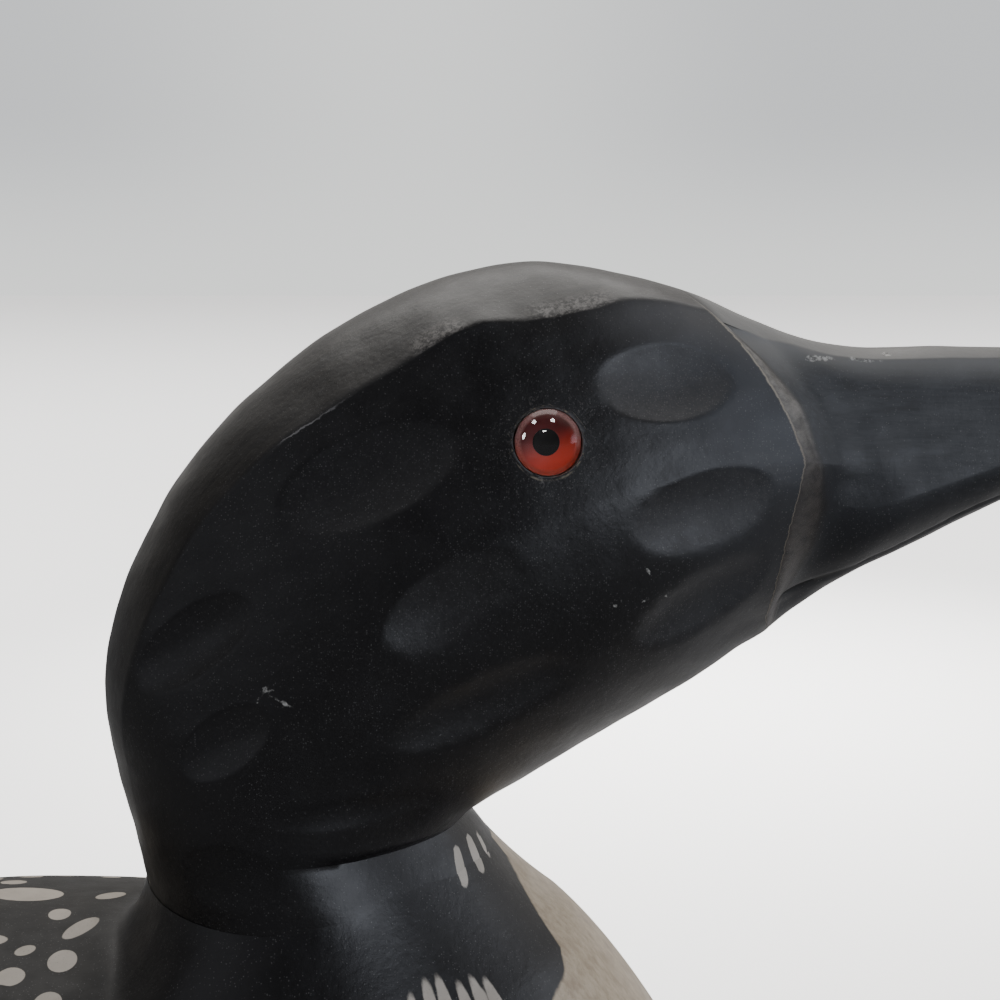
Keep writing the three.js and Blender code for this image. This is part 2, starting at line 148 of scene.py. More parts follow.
# Gouge scoops: the centre's x and z, the length and the width in hundredths of HEAD_HEIGHT,
# the tilt in degrees, the depth as a share of SCOOP_DEPTH and how dusty it is, from 0 to 1. Their
# lower halves are dustier by DUST_AND_LIGHT_SLANT, which also paints the light on their lower walls.
SCOOPS = {
    "upper_lore": [52.2, 82.6, 20.6, 12.4, 8, 1.0, 1.0],
    "middle_lore": [57.0, 64.3, 23.0, 11.0, 16, 1.0, 0.9],
    "lower_lore": [57.6, 50.2, 24.0, 10.0, 24, 1.0, 0.45],
    "behind_eye": [8.3, 68.8, 29.0, 14.0, 23, 0.8, 0.2],
    "cheek": [20.9, 52.2, 23.0, 10.4, 34, 1.0, 0.35],
    "jaw": [25.0, 36.6, 30.0, 9.6, 23, 1.0, 0.2],
    "nape": [-18.0, 43.8, 23.0, 10.0, 31, 1.0, 0.2],
    "lower_nape": [-12.5, 30.2, 16.5, 8.6, 34, 0.8, 0.15],
    "under_jaw": [5.6, 19.4, 28.0, 5.0, 2, 0.2, 0.0],
    "neck": [-12.8, 9.6, 15.6, 10.4, 0, 0.3, 0.0],
}
RIM_SOFTNESS = 0.08
# The lower halves' extra dust also paints the light on the scoops' lower walls
DUST_AND_LIGHT_SLANT = 0.35

# The scoops end just behind the step, in millimetres, and the carving fades out towards the seam
# and between these rows ahead of the step.
SCOOP_END = 0.6
SEAM_FADE = 6.0
TIP_FADE = (2.5, 4.5)
WAVE_HEIGHT = 0.08
RIPPLE_HEIGHT = 0.035

# Scallops that gouge cuts left along the brow's edge: the row and how far down the rib they move
# it. The higher SCALLOP_FADE, the sooner they fade out down the cheek.
SCALLOP_FADE = 7
BROW_SCALLOPS = [
    (5.8, 0.0), (6.1, 0.004), (6.7, 0.0), (6.95, -0.008), (7.2, -0.018), (7.4, -0.018),
    (7.5, -0.009), (7.63, 0.004), (7.83, 0.008), (8.0, 0.004), (8.12, 0.0), (8.37, -0.024),
    (8.52, -0.033), (8.72, -0.037), (9.2, -0.03), (9.7, 0.0),
]

# Rows of the body from the breast to the cut behind the shoulders: the distance behind the
# breast as a share of BODY_LENGTH, the half width as a share of BODY_WIDTH / 2, the top's
# height above the edge as a share of the back's, and the power of the section's upper curve.
BODY_ROWS = [
    [0.0, 0.0, 0.0, 1.7],
    [0.011, 0.22, 0.13, 1.7],
    [0.044, 0.4, 0.3, 1.7],
    [0.1, 0.565, 0.565, 1.65],
    [0.161, 0.69, 0.85, 1.6],
    [0.244, 0.81, 0.98, 1.5],
    [0.35, 0.92, 1.0, 1.46],
    [0.49, 0.99, 1.0, 1.48],
    [0.62, 0.99, 1.03, 1.5],
    [0.735, 0.93, 1.04, 1.5],
    [0.83, 0.8, 0.97, 1.55],
    [0.905, 0.61, 0.82, 1.6],
    [0.957, 0.41, 0.56, 1.65],
    [0.989, 0.2, 0.27, 1.7],
    [1.0, 0.0, 0.0, 1.7],
]

# The shoulder round the neck: how steeply it falls from it at the breast, the side and the back,
# the distance over which that doubles, how far out it is meshed finely, the breast's fall by the
# distance and by its square, where along the body that curve fades out, and the reach of the
# round between shoulder and back, ahead of the neck and behind it
SHOULDER_SLOPES = (0.85, 1.1, 3.0)
SHOULDER_REACH = 55.0
SHOULDER_SPREAD = 21.0
BREAST_CURVE = (0.6, 0.021)
BREAST_FADE = (0.06, 0.3)
FILLETS = (4.0, 11.0)

# Painted filler in the corner between neck and breast: its heights on the neck, at the side and in
# front, its reach on the breast, and where round the neck, from the nape at 0 to the throat at 1,
# it sets in. Behind that the paint only laps up the neck, the more narrowly the higher LIP_FADE.
FILLER_HEIGHTS = (1.2, 9.2)
FILLER_REACH = 8.6
FILLED = (0.25, 0.6)
LIP_FADE = 8

# The eye's place on the cheek, and how far forwards and up it looks for each unit outwards
EYE_X = 34.6 * PERCENT
EYE_Z = 73.8 * PERCENT
EYE_TILT = (0.1, 0.12)

# The necklace's bars on the neck: the angle from the breast, the middle's height above the seam,
# half the length and the width, in degrees and millimetres. They lean by BAR_LEAN degrees for each
# millimetre of height. The lower row lies on the shoulders: the angle and the distance from the
# neck where each bar starts. The higher BLUNTNESS, the blunter the bars' ends.
NECK_BARS = [(33.4, 5.7, 2.3, 2.1), (21.6, 5.9, 2.2, 2.3), (11.8, 5.9, 1.5, 1.4)]
BAR_LEAN = 1.3
BAR_WIDTH = 2.1
LOWER_BARS = [
    (46.4, 7.4), (49.6, 7.0), (53.3, 7.0), (57.9, 6.3), (61.4, 6.2), (65.8, 6.8), (70.2, 7.2),
]
LOWER_BAR_END = 14.0
BLUNTNESS = 2.7

# Chips in the paint of the right side: x and z from the neck's centre, length, width and tilt
CHIPS = [
    (-6.6, 34.7, 2.6, 0.3, 57),
    (-3.6, 34.3, 2.3, 0.45, -27),
    (-5.4, 35.7, 0.9, 0.25, 0),
    (41.5, 47.0, 0.7, 0.45, 10),
    (45.8, 47.4, 1.6, 0.35, 40),
    (71.6, 79.7, 3.2, 0.7, -4),
    (78.9, 79.3, 4.6, 0.6, -2),
    (82.5, 80.2, 1.6, 0.5, 0),
]
SCRATCHES = [((45.8, 52.0), (49.0, 47.4))]
SCRATCH_WIDTH = 0.12

# Distances from marks stop here
UNMARKED = 9.0

# The slit between the bill's halves, seen from the side
MANDIBLE_LINE = [(64.0, 42.6), (66.9, 43.4), (79.1, 49.6), (96.1, 58.2), (143.0, 75.8)]
MANDIBLE_WIDTH = 0.9
MANDIBLE_DEPTH = 0.5

# Places of the fine mesh's lines above the jaw's crease, where the skull's even lines start, and
# places ahead of the step's edge, in rows
CREASE_PLACES = [0, 0.01, 0.03, 0.06, 0.1, 0.15, 0.21]
SKULL_START = 0.27
WALL_PLACES = [0.012, 0.03, 0.06, 0.1, 0.15, 0.2, 0.26, 0.32, 0.39, 0.46, 0.54, 0.62, 0.7]

# How the neck's outline is shared out among crown, cheek and throat in the body's mesh
SEAM_STEPS = np.array([3, 5, 5])

# Numbers of lines in the fine meshes
SKULL_LINES = 180
BILL_LINES = 78
NECK_LINES = 15
CROWN_LINES = 24
CHEEK_LINES = 92
THROAT_LINES = 34
BODY_LINES = 280
SHOULDER_LINES = 46
BACK_LINES = 60
ROLL_LINES = 8
FILLER_LINES = 16
PLAN_LINES = 1500
LATHE_SIDES = 64
DOME_STEPS = 24

# Edges stay sharp past these angles
SHARP_ANGLE = math.radians(40)
SEAT_SHARP_ANGLE = math.radians(50)

# The edge of the black paint round the breast: the angle from the breast in degrees, and the
# distance from the neck in millimetres. On the left it lies at a share of that distance, by the
# angle too. COLLAR_TURNS soften its corners, and below FLANK_HEIGHT the flanks are cream.
COLLAR = [
    (0, 3.2), (4.7, 4.0), (11.6, 5.2), (18, 7.4), (21.8, 9.9), (24, 10.9), (28, 11.2),
    (34, 11.9), (50, 17.0), (65, 24.0), (80, 36.0), (95, 52.0), (110, 80.0), (180, 120.0),
]
LEFT_COLLAR = [(0, 1), (5, 0.3), (60, 1)]
COLLAR_TURNS = (-3.0, -1.5, 0.0, 1.5, 3.0)
FLANK_HEIGHT = 14.0

# Spots of the back's right half that are listed one by one: x and y from the neck's centre, the half
# length and half width, and the turn from the length of the back, in degrees. HAND_X and HAND_Y
# bound the place that they fill. Staggered rows of other spots lie round it, each moved at random
# by up to SPOT_SHIFT and clear of the listed ones by a share of the spacing, SPOT_APART.
SPOTS = [
    (-50.6, 7.6, 5.9, 4.3, 0),
    (-42.7, -1.3, 1.7, 1.9, 0),
    (-38.4, -5.0, 3.7, 1.5, 62),
    (-37.4, 9.2, 3.0, 1.6, 60),
    (-45.0, -11.6, 1.6, 1.1, 40),
    (-38.9, -13.6, 2.1, 2.6, 0),
    (-45.4, -17.6, 2.1, 2.0, 0),
    (-38.6, -22.6, 2.0, 2.3, 0),
    (-49.6, -9.3, 1.3, 1.3, 0),
]
HAND_X = (-52, -28)
HAND_Y = (-26, 26)
SPOT_ROWS = range(-8, 9)
SPOT_COLUMNS = range(1, 18)
FIRST_SPOT_X = -30
SPOT_SPACING = 8.6
SPOT_APART = 0.75
SPOT_RADIUS = 1.8
SPOT_STRETCH = 1.1
SPOT_SIZES = (0.8, 1.2)
SPOT_SHIFT = 0.9
SPOT_SEED = 7
CLEAR_OF_NECK = 6.0
CLEAR_OF_FLANK = 2

# The camera, as the photograph's: the optical axis meets the middle plane here, measured
# from the neck's centre on the seam, and the picture is IMAGE_PIXELS wide
VIEW_CENTRE = (25.9, 58.0)
VIEW_DISTANCE = 232.0
VIEW_PITCH = math.radians(8.0)
FOCAL_PIXELS = 1539.0
IMAGE_PIXELS = 1000.0
SENSOR_WIDTH = 36.0

# Colours of the paints as linear red, green and blue. A pair is mottled from one to the other, but
# the step's go from its lower half to its upper one, paler above as painted light, the iris's from
# the top down, from painted shade to painted light, and its rim's from the bottom up, paler at the
# top as a painted reflection. The hazes, a rubbed finish with a painted blue-grey sheen, go from
# the brow down.
BLACK = ((0.0048, 0.0042, 0.0047), (0.0085, 0.0076, 0.0084))
WORN_BLACK = ((0.0055, 0.005, 0.0045), (0.0125, 0.0107, 0.009))
CREAM = ((0.36, 0.27, 0.175), (0.54, 0.44, 0.31))
DABS = ((0.41, 0.365, 0.305), (0.57, 0.51, 0.44))
DUST = (0.17, 0.165, 0.16)
GRIT = (0.13, 0.125, 0.12)
SCOOP_DUST = (0.048, 0.047, 0.048)
# A rubbed finish behind the step whose colours carry a painted sheen, palest near the brow
HAZES_AND_SHEENS = ((0.085, 0.083, 0.083), (0.036, 0.04, 0.048), (0.024, 0.0245, 0.027))
STREAK = (0.024, 0.021, 0.018)
# A painted highlight above the brow, mottled like bare wood
BROW_HIGHLIGHT_COLOUR = (0.26, 0.24, 0.22)
# Worn paint along a stretch of the brow's edge, with a painted highlight
WORN_EDGE_HIGHLIGHT = (0.3, 0.29, 0.29)
TORN_WOOD = ((0.09, 0.087, 0.08), (0.45, 0.44, 0.41))
SLATE = ((0.008, 0.009, 0.0105), (0.027, 0.029, 0.033))
# Painted shade on the bill's lower part, and a painted highlight along its top
LOWER_BILL_SHADE = (0.012, 0.0125, 0.015)
BILL_TOP_HIGHLIGHT = (0.19, 0.185, 0.175)
# Bare wood of the step, paler in its upper half as painted light, with painted shade at its lower end
# and at its foot
STEP_DARK = ((0.012, 0.009, 0.008), (0.07, 0.064, 0.056))
STEP_PALE = ((0.045, 0.037, 0.031), (0.2, 0.185, 0.165))
STEP_END_SHADE = (0.025, 0.021, 0.019)
STEP_FOOT_SHADE = ((0.006, 0.005, 0.005), (0.03, 0.028, 0.026))
STEP_EDGE = ((0.2, 0.17, 0.135), (0.36, 0.32, 0.26))
FIBRES = (0.16, 0.15, 0.14)
EYE_LIP = (0.3, 0.26, 0.19)
PITCH_BLACK = (0.002, 0.002, 0.002)
# The red iris with painted shade above and painted light below, and its rim with a painted reflection at
# the top
IRIS_SHADE_TO_LIGHT = ((0.13, 0.003, 0.002), (0.95, 0.05, 0.008))
IRIS_RIM_AND_REFLECTION = ((0.72, 0.1, 0.05), (0.55, 0.27, 0.24))

# Sizes of specks of dust: the cells' scale, the specks' radius in a cell and how many there are
SPECKS = ((3200.0, 0.38, 1.7), (1900.0, 0.24, 1.0), (800.0, 0.13, 0.25))
# Painted highlights above the brow's edge, mottled like bare wood: the row of the middle and the
# reach in rows
BROW_HIGHLIGHTS = ((7.08, 0.26), (8.0, 0.4))
BUMP_DISTANCE = 0.00012
BUMP_STRENGTH = 0.6

# The floor. Only its far side ahead throws much light back at the bird; the rest counts as dark.
FLOOR_SIZE = 40.0
FLOOR = (0.8, 0.79, 0.78)
DARK_FLOOR = (0.2, 0.2, 0.2)
FLOOR_GLOW = (1.0, 0.985, 0.96)
GLOW_PLACE = (0.08, 0.34, 0)

# The lamp above the bird's far side
LAMP_PLACE = (-0.05, 0.35, 0.9)
LAMP_TARGET = (0, 0, 0.1)
LAMP_SIZE = 0.8
LAMP_POWER = 4.3
LAMP_COLOUR = (1.0, 0.98, 0.95)

# Small bright places that the glass eyes mirror: their directions and their half sizes
GLINTS = [
    ((-0.44, -0.28, 0.85), (0.09, 0.12, 0.09)),
    ((0.29, -0.28, 0.91), (0.09, 0.12, 0.09)),
    ((-0.86, -0.4, 0.31), (0.12, 0.08, 0.16)),
    ((-0.04, -0.79, 0.61), (0.1, 0.06, 0.05)),
]
GLINT = (34.0, 34.0, 34.0)

# The surround: the strength and colour of the bright tent above and behind, and the strength of
# the dim rest from below upwards, then the colours of a window that the glass mirrors, of its soft
# light and of the glow behind the bird, and how much of that soft light comes from ahead
TENT = 0.52
TENT_COLOUR = (1.0, 0.97, 0.935)
DIM_SIDE = (0.2, 0.05)
WINDOW = (1.6, 1.8, 2.1)
SOFT_WINDOW = (3.1, 3.3, 3.7)
REAR_GLOW = (0.4, 0.41, 0.44)
FRONT_GLOW = 0.55

# Where those lie: an axis of the direction, and where along it the light fades in, for each side
X, Y, Z = range(3)
SHARP_WINDOW = ((X, 0.94, 0.99), (Z, -0.25, 0.0), (Y, 0.35, 0.0))
BESIDE = ((X, 0.15, 0.5), (Z, -0.7, 0.25), (Z, 0.85, 0.5), (Y, -0.35, -0.65))
AHEAD = ((X, 0.65, 0.9), (Y, -0.3, 0.05), (Y, 0.6, 0.3), (Z, -0.7, 0.0), (Z, 0.9, 0.6))
REAR = ((X, -0.3, -0.65), (Y, 0.1, -0.3), (Z, -0.4, 0.2))

# What the camera sees behind the bird
BACKDROP = (0.8, 0.82, 0.84)
HORIZON = (1.2, 1.22, 1.2)


def smooth_step(low, high, value):
    """The value's place between low and high, from 0 to 1, eased at both ends."""
    t = np.clip((value - low) / (high - low), 0, 1)
    return t * t * (3 - 2 * t)


def rows_at(rows, places):
    """The rows' values at places along them, by a smooth curve, with the rows numbered from 0."""
    table = np.array(rows, float)
    first = 2 * table[0] - table[1]
    last = 2 * table[-1] - table[-2]
    table = np.vstack([first, table, last])
    u = np.asarray(places, float)
    i = np.clip(np.floor(u).astype(int), 0, len(rows) - 2)
    f = (u - i)[..., None]
    a, b, c, d = (table[i + k] for k in range(4))
    curved = (2 * a - 5 * b + 4 * c - d) * f**2 + (3 * b - a - 3 * c + d) * f**3
    return 0.5 * (2 * b + (c - a) * f + curved)


def head_rows():
    """The head's rows in millimetres, with the neck centre on the seam as origin."""
    rows = []
    bases = ((SKULL_ROWS, 0, PERCENT, HEAD_WIDTH), (BILL_ROWS, BILL_BASE_X, BILL_LENGTH, BILL_WIDTH))
    for table, base, unit, width in bases:
        for crown_x, crown_z, throat_x, throat_z, half, *shape, bow in table:
            crown = [base + crown_x * unit, crown_z * PERCENT]
            throat = [base + throat_x * unit, throat_z * PERCENT]
            rows.append([*crown, *throat, half * width / 2, *shape, bow * PERCENT])
    return rows


HEAD_ROWS = head_rows()
LAST_HEAD_ROW = len(HEAD_ROWS) - 1
SEAM_ROW = [-NECK_LENGTH / 2, 0, NECK_LENGTH / 2, 0, NECK_WIDTH / 2, 0.6, 0.1, 0.5, 2.8, 0]
NECK_ROWS = [SEAM_ROW, HEAD_ROWS[0]]


def drawn_in(in_neck, u, down, half):
    """How far the neck's or jaw's side is drawn in, as a share of the half width."""
    front = smooth_step(0.5, 0.95, down)
    if in_neck:
        rise = 1 - (1 - u) ** 2
    else:
        rise = (1 - np.minimum(u / JAW_ROUND, 1)) ** 2
    return (JAW_OVERHANG / half) * front * rise


def groove_wall(down):
    """The width of the sloping wall at the bill's base, in millimetres."""
    return np.interp(down, *zip(*WALL_WIDTHS))


def groove_depth(distance, down):
    """The step at the bill's base, from the distance ahead of its edge: a wall, then a ramp."""
    wall = groove_wall(down)
    risen = smooth_step(0, GROOVE_RAMP, distance - wall)
    profile = np.where(distance < wall, smooth_step(0, 1, distance / wall), 1 - risen) * (distance > 0)
    return GROOVE_DEPTH * profile * smooth_step(0, 0.1, down) * (1 - smooth_step(0.94, 1, down))


def bow_shape(down, u):
    """The rib's bow towards the bill, from 0 at its ends to 1 at the groove's point."""
    rising = np.sin((math.pi / 2) * np.clip(down / BOW_PEAK, 0, 1) ** 0.75)
    t = np.clip((down - BOW_PEAK) / BOW_PEAK, 0, 1)
    at_groove = smooth_step(GROOVE_ROW - 1, GROOVE_ROW, u)
    t = t + at_groove * (t**2 / (t + POINT_SOFTNESS) - t)
    falling = np.cos((math.pi / 2) * t ** (0.9 - 0.4 * at_groove))
    return np.where(down < BOW_PEAK, rising, falling)


def head_points(in_neck, u, part, f):
    """Points of the head's right side, one row for each u and one column for each (part, f).

    Part 0 is the crown's facet, 1 the cheek and 2 the throat, and f goes from 0 to 1 along it.
    Returns the points and how far down the rib they lie, from 0 to 1.
    """
    row = np.moveaxis(rows_at(NECK_ROWS if in_neck else HEAD_ROWS, u)[:, None, :], 2, 0)
    crown_x, crown_z, throat_x, throat_z, half, brow_y, brow_drop, widest, power, bow = row
    scallops = np.interp(u, *zip(*BROW_SCALLOPS))[:, None]
    turn = (math.pi / 2) * f
    crown, cheek = part == 0, part == 1
    cheek_across = brow_y + (1 - brow_y) * (1 - (1 - f) ** power)
    across = np.where(crown, brow_y * f, np.where(cheek, cheek_across, np.cos(turn)))
    crown_down = (brow_drop + scallops) * f**FACET_POWER
    cheek_down = brow_drop + (widest - brow_drop) * f + scallops * (1 - f) ** SCALLOP_FADE
    throat_down = widest + (1 - widest) * np.sin(turn)
    down = np.where(crown, crown_down, np.where(cheek, cheek_down, throat_down))
    places = np.broadcast_to(u[:, None], down.shape)
    side = across * half * (1 - drawn_in(in_neck, places, down, half))
    x = crown_x + (throat_x - crown_x) * down + bow * bow_shape(down, places)
    z = crown_z + (throat_z - crown_z) * down
    return np.stack([x, -side, z], axis=2), down


def ring_normals(points):
    """Outward unit normals of a grid of closed rings."""
    along = np.gradient(points, axis=0)
    around = (np.roll(points, -1, axis=1) - np.roll(points, 1, axis=1)) / 2
    normal = np.cross(around, along)
    return normal / np.maximum(np.linalg.norm(normal, axis=2, keepdims=True), 1e-9)


SIDE_FLIP = np.array([1, -1, 1])


def mirrored(half, flip=1):
    """Closed rings from their right half, down the right side and up the left one."""
    return np.concatenate([half, half[:, -2:0:-1] * flip], axis=1)


def head_lines():
    """The places of the cross lines in the neck's rows, and in the head's from the jaw to the tip."""
    neck = np.linspace(0, 1, NECK_LINES, endpoint=False)
    skull = np.linspace(SKULL_START, GROOVE_ROW, SKULL_LINES)
    wall = GROOVE_ROW + np.array(WALL_PLACES)
    bill = wall[-1] + (LAST_HEAD_ROW - wall[-1]) * np.linspace(0, 1, BILL_LINES)[1:]
    return neck, np.concatenate([CREASE_PLACES, skull, wall, bill])


def line_parts():
    """The parts and shares of the head's long lines, from the crown's middle to the throat's."""
    parts = []
    shares = []
    for part, count in enumerate((CROWN_LINES, CHEEK_LINES, THROAT_LINES)):
        parts += [part] * count
        shares += list(np.arange(count) / count)
    return np.array(parts + [2]), np.array(shares + [1.0])


def surface_place(points, x, z):
    """The index of the right side's point nearest to x and z."""
    distance = (points[..., 0] - x) ** 2 + (points[..., 2] - z) ** 2
    return np.unravel_index(np.argmin(distance), distance.shape)


def dish(t):
    """The larger of t and 0, with a soft rim."""
    soft = (t + RIM_SOFTNESS) ** 2 / (4 * RIM_SOFTNESS)
    return np.where(t > RIM_SOFTNESS, t, np.where(t < -RIM_SOFTNESS, 0, soft))


def scoop_fields(points, normals):
    """How deep the gouge scoops are at each point of the right side, and how dusty."""
    total = np.zeros(points.shape[:2])
    dusty = np.zeros(points.shape[:2])
    for x, z, length, width, tilt, depth, dust_share in SCOOPS.values():
        place = surface_place(points, x * PERCENT, z * PERCENT)
        centre, up = points[place], normals[place]
        turn = math.radians(tilt)
        along = np.array([math.cos(turn), 0, math.sin(turn)])
        along -= up * (along @ up)
        along /= np.linalg.norm(along)
        across = np.cross(up, along)
        offset = points - centre
        a = 2 * (offset @ along) / (length * PERCENT)
        b = 2 * (offset @ across) / (width * PERCENT)
        near = np.abs(offset @ up) < HEAD_WIDTH / 3
        inside = dish(1 - a**2 - b**2) * near
        total = np.maximum(total, depth * SCOOP_DEPTH * inside)
        # Dustier, paler lower halves: dust, and painted light on the lower walls
        settled_and_lit = (1 - DUST_AND_LIGHT_SLANT * np.clip(b, -1, 1)) * smooth_step(0, 0.2, inside)
        dusty = np.maximum(dusty, dust_share * settled_and_lit)
    return total, dusty


def undulation(points):
    """A carver's slight unevenness, in millimetres."""
    x, y, z = (points[..., k] for k in range(3))
    waves = np.sin(x * 0.31 + z * 0.17 + 0.6) * np.sin(z * 0.23 - x * 0.11 + 1.9)
    ripples = np.sin(x * 0.63 - z * 0.52) * np.sin(x * 0.27 + z * 0.71 + y * 0.2 + 0.8)
    return WAVE_HEIGHT * waves + RIPPLE_HEIGHT * ripples


def add_object(name, data):
    made = bpy.data.objects.new(name, data)
    bpy.context.scene.collection.objects.link(made)
    return made


def mesh_object(name, grid, first, last, attributes, origin):
    """A closed mesh from a grid of rings and its two end points, with named values on its points."""
    rings, count = grid.shape[:2]
    vertices = np.vstack([[first], grid.reshape(-1, 3), [last]]) + np.array(origin)
    k = np.arange(count)
    following = (k + 1) % count
    low = 1 + count * np.arange(rings - 1)[:, None]
    high = low + count
    quads = np.stack([low + k, low + following, high + following, high + k], axis=2).reshape(-1, 4)
    end = len(vertices) - 1
    top = 1 + (rings - 1) * count
    fans = [[0, 1 + int(b), 1 + int(a)] for a, b in zip(k, following)]
    fans += [[top + int(a), top + int(b), end] for a, b in zip(k, following)]
    mesh = bpy.data.meshes.new(name)
    mesh.from_pydata((vertices * MM).tolist(), [], quads.tolist() + fans)
    for key, values in attributes.items():
        layer = mesh.attributes.new(key, "FLOAT", "POINT")
        flat = np.concatenate([[values[0].mean()], values.ravel(), [values[-1].mean()]])
        layer.data.foreach_set("value", flat.astype(np.float32))
    mesh.validate()
    mesh.shade_smooth()
    return add_object(name, mesh)


def head_surface():
    """The head's right half as a grid of points, how far down the ribs they lie, and its lines."""
    neck_u, head_u = head_lines()
    part, f = line_parts()
    neck, neck_down = head_points(True, neck_u, part, f)
    rest, rest_down = head_points(False, head_u, part, f)
    points = np.vstack([neck, rest])
    down = np.vstack([neck_down, rest_down])
    u = np.concatenate([neck_u - 1, head_u])
    return points, down, u, part


def length_along(points, axis, index):
    """Distances along the grid's lines, in millimetres, from the line with the index."""
    steps = np.linalg.norm(np.diff(points, axis=axis), axis=2)
    length = np.insert(np.cumsum(steps, axis=axis), 0, 0, axis=axis)
    return length - np.take(length, [index], axis=axis)


def mark_distance(across, along, half_width, half_length, power=2.0):
    """The distance from an oval's edge, less than 0 inside it; a higher power blunts its ends."""
    shares = np.abs(across / half_width) ** power + np.abs(along / half_length) ** power
    return (shares ** (1 / power) - 1) * half_width


def oval_distance(dx, dy, half_length, half_width, tilt):
    """The distance from the edge of an oval that is turned by its tilt, in degrees."""
    turn = math.radians(tilt)
    along = dx * math.cos(turn) + dy * math.sin(turn)
    across = dy * math.cos(turn) - dx * math.sin(turn)
    return mark_distance(across, along, half_width, half_length)


def around_neck(points):
    """The angle round the neck from the breast, in degrees, and the distance from its middle."""
    angle = np.degrees(np.arctan2(np.abs(points[..., 1]), points[..., 0]))
    return angle, np.hypot(points[..., 0], points[..., 1])


def line_distance(points, start, end):
    """The distance from a straight line between two places in the side view."""
    a, b = np.array(start), np.array(end)
    place = points[..., [0, 2]] - a
    share = np.clip(place @ (b - a) / ((b - a) @ (b - a)), 0, 1)
    return np.linalg.norm(place - share[..., None] * (b - a), axis=-1)


def neck_marks(points):
    """The distance from the necklace's upper bars, painted on the neck."""
    angle, radius = around_neck(points)
    distance = np.full(angle.shape, UNMARKED)
    for place, middle, half_length, width in NECK_BARS:
        height = points[..., 2] - middle
        across = np.radians(angle - place + BAR_LEAN * height) * radius
        bar = mark_distance(across, height, width / 2, half_length, BLUNTNESS)
        distance = np.minimum(distance, bar)
    return distance


def chip_marks(points):
    """The distance from the chips and scratches on the right side."""
    distance = np.full(points.shape[:2], UNMARKED)
    for x, z, length, width, tilt in CHIPS:
        chip = oval_distance(points[..., 0] - x, points[..., 2] - z, length / 2, width / 2, tilt)
        distance = np.minimum(distance, chip)
    for start, end in SCRATCHES:
        distance = np.minimum(distance, line_distance(points, start, end) - SCRATCH_WIDTH / 2)
    return np.where(points[..., 1] < 0, distance, UNMARKED)


def mandible_groove(points, places):
    """The slit between the bill's halves, as a share of its depth, and the height above it."""
    above = points[..., 2] - np.interp(points[..., 0], *zip(*MANDIBLE_LINE))
    start = smooth_step(0.1, 0.5, places - GROOVE_ROW)
    end = smooth_step(-0.6, -0.2, places - LAST_HEAD_ROW)
    return np.clip(1 - np.abs(above) / (MANDIBLE_WIDTH / 2), 0, 1) * start * (1 - end), above


def head_piece():
    """The head: neck, skull and bill in one, carved, with its eye seats drilled."""
    points, down, u, part = head_surface()
    groove_line = int(np.argmin(np.abs(u - GROOVE_ROW)))
    ahead = length_along(points, 0, groove_line)
    crease = length_along(points, 1, int(np.argmax(part == 1)))
    full = mirrored(points, SIDE_FLIP)
    normals = ring_normals(full)
    places = np.broadcast_to(u[:, None], down.shape)
    above_seam = smooth_step(0, SEAM_FADE, points[..., 2])
    behind_tip = 1 - smooth_step(*TIP_FADE, places - GROOVE_ROW)
    scoop, dusty = scoop_fields(points, normals[:, : points.shape[1]])
    scoop *= 1 - smooth_step(-SCOOP_END, 0.0, ahead)
    slit, above_slit = mandible_groove(points, places)
    shift = undulation(points) * above_seam * behind_tip - scoop * above_seam - slit * MANDIBLE_DEPTH
    step = mirrored(groove_depth(ahead, down))[..., None]
    sideways = normals * np.array([0, 1, 1])
    moved = full + normals * mirrored(shift)[..., None] - sideways * step
    moved[:, 0, 1] = 0
    moved[:, points.shape[1] - 1, 1] = 0
    moved[0, :, 2] += PAINTED_GAP - (HEAD_SEAT - SHELF_HEIGHT)
    halves = {
        "scoop": dusty,
        "ahead": ahead,
        "wall": groove_wall(down),
        "down": down,
        "crease": crease,
        "slit": above_slit,
        "row": places,
    }
    attributes = {key: mirrored(value) for key, value in halves.items()}
    attributes["mark"] = neck_marks(full)
    attributes["chip"] = chip_marks(full)
    attributes["eye"] = np.hypot(full[..., 0] - EYE_X, full[..., 2] - EYE_Z)
    ends = [ring.mean(axis=0) for ring in (moved[0], moved[-1])]
    piece = mesh_object("carved_head", moved, *ends, attributes, (NECK_X, 0, HEAD_SEAT))
    for side in (-1, 1):
        drill(piece, eye_frame(points, side))
    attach(piece, "root")
    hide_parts("head")
    return piece


def eye_frame(points, side):
    """The eye's frame in metres: its origin on the cheek and its axis looking out."""
    place = surface_place(points, EYE_X, EYE_Z)
    centre = points[place] * np.array([1, -side, 1]) + np.array([NECK_X, 0, HEAD_SEAT])
    axis = Vector((EYE_TILT[0], side, EYE_TILT[1])).normalized()
    turn = axis.to_track_quat("Z", "Y").to_matrix().to_4x4()
    return Matrix.Translation(Vector(centre) * MM) @ turn


def lathe(name, profile, frame_matrix):
    """A piece turned from a profile of radius and height in millimetres, with its ends at radius 0."""
    turns = 2 * math.pi * np.arange(LATHE_SIDES) / LATHE_SIDES
    rings = np.array([[(r * math.cos(t), r * math.sin(t), h) for t in turns] for r, h in profile[1:-1]])
    ends = [(0, 0, profile[k][1]) for k in (0, -1)]
    piece = mesh_object(name, rings, *ends, {}, (0, 0, 0))
    piece.matrix_world = frame_matrix
    return piece


def drum(radius, bottom, top):
    """The profile of a drum, from the middle of its bottom to the middle of its top."""
    return [(0, bottom), (radius, bottom), (radius, top), (0, top)]


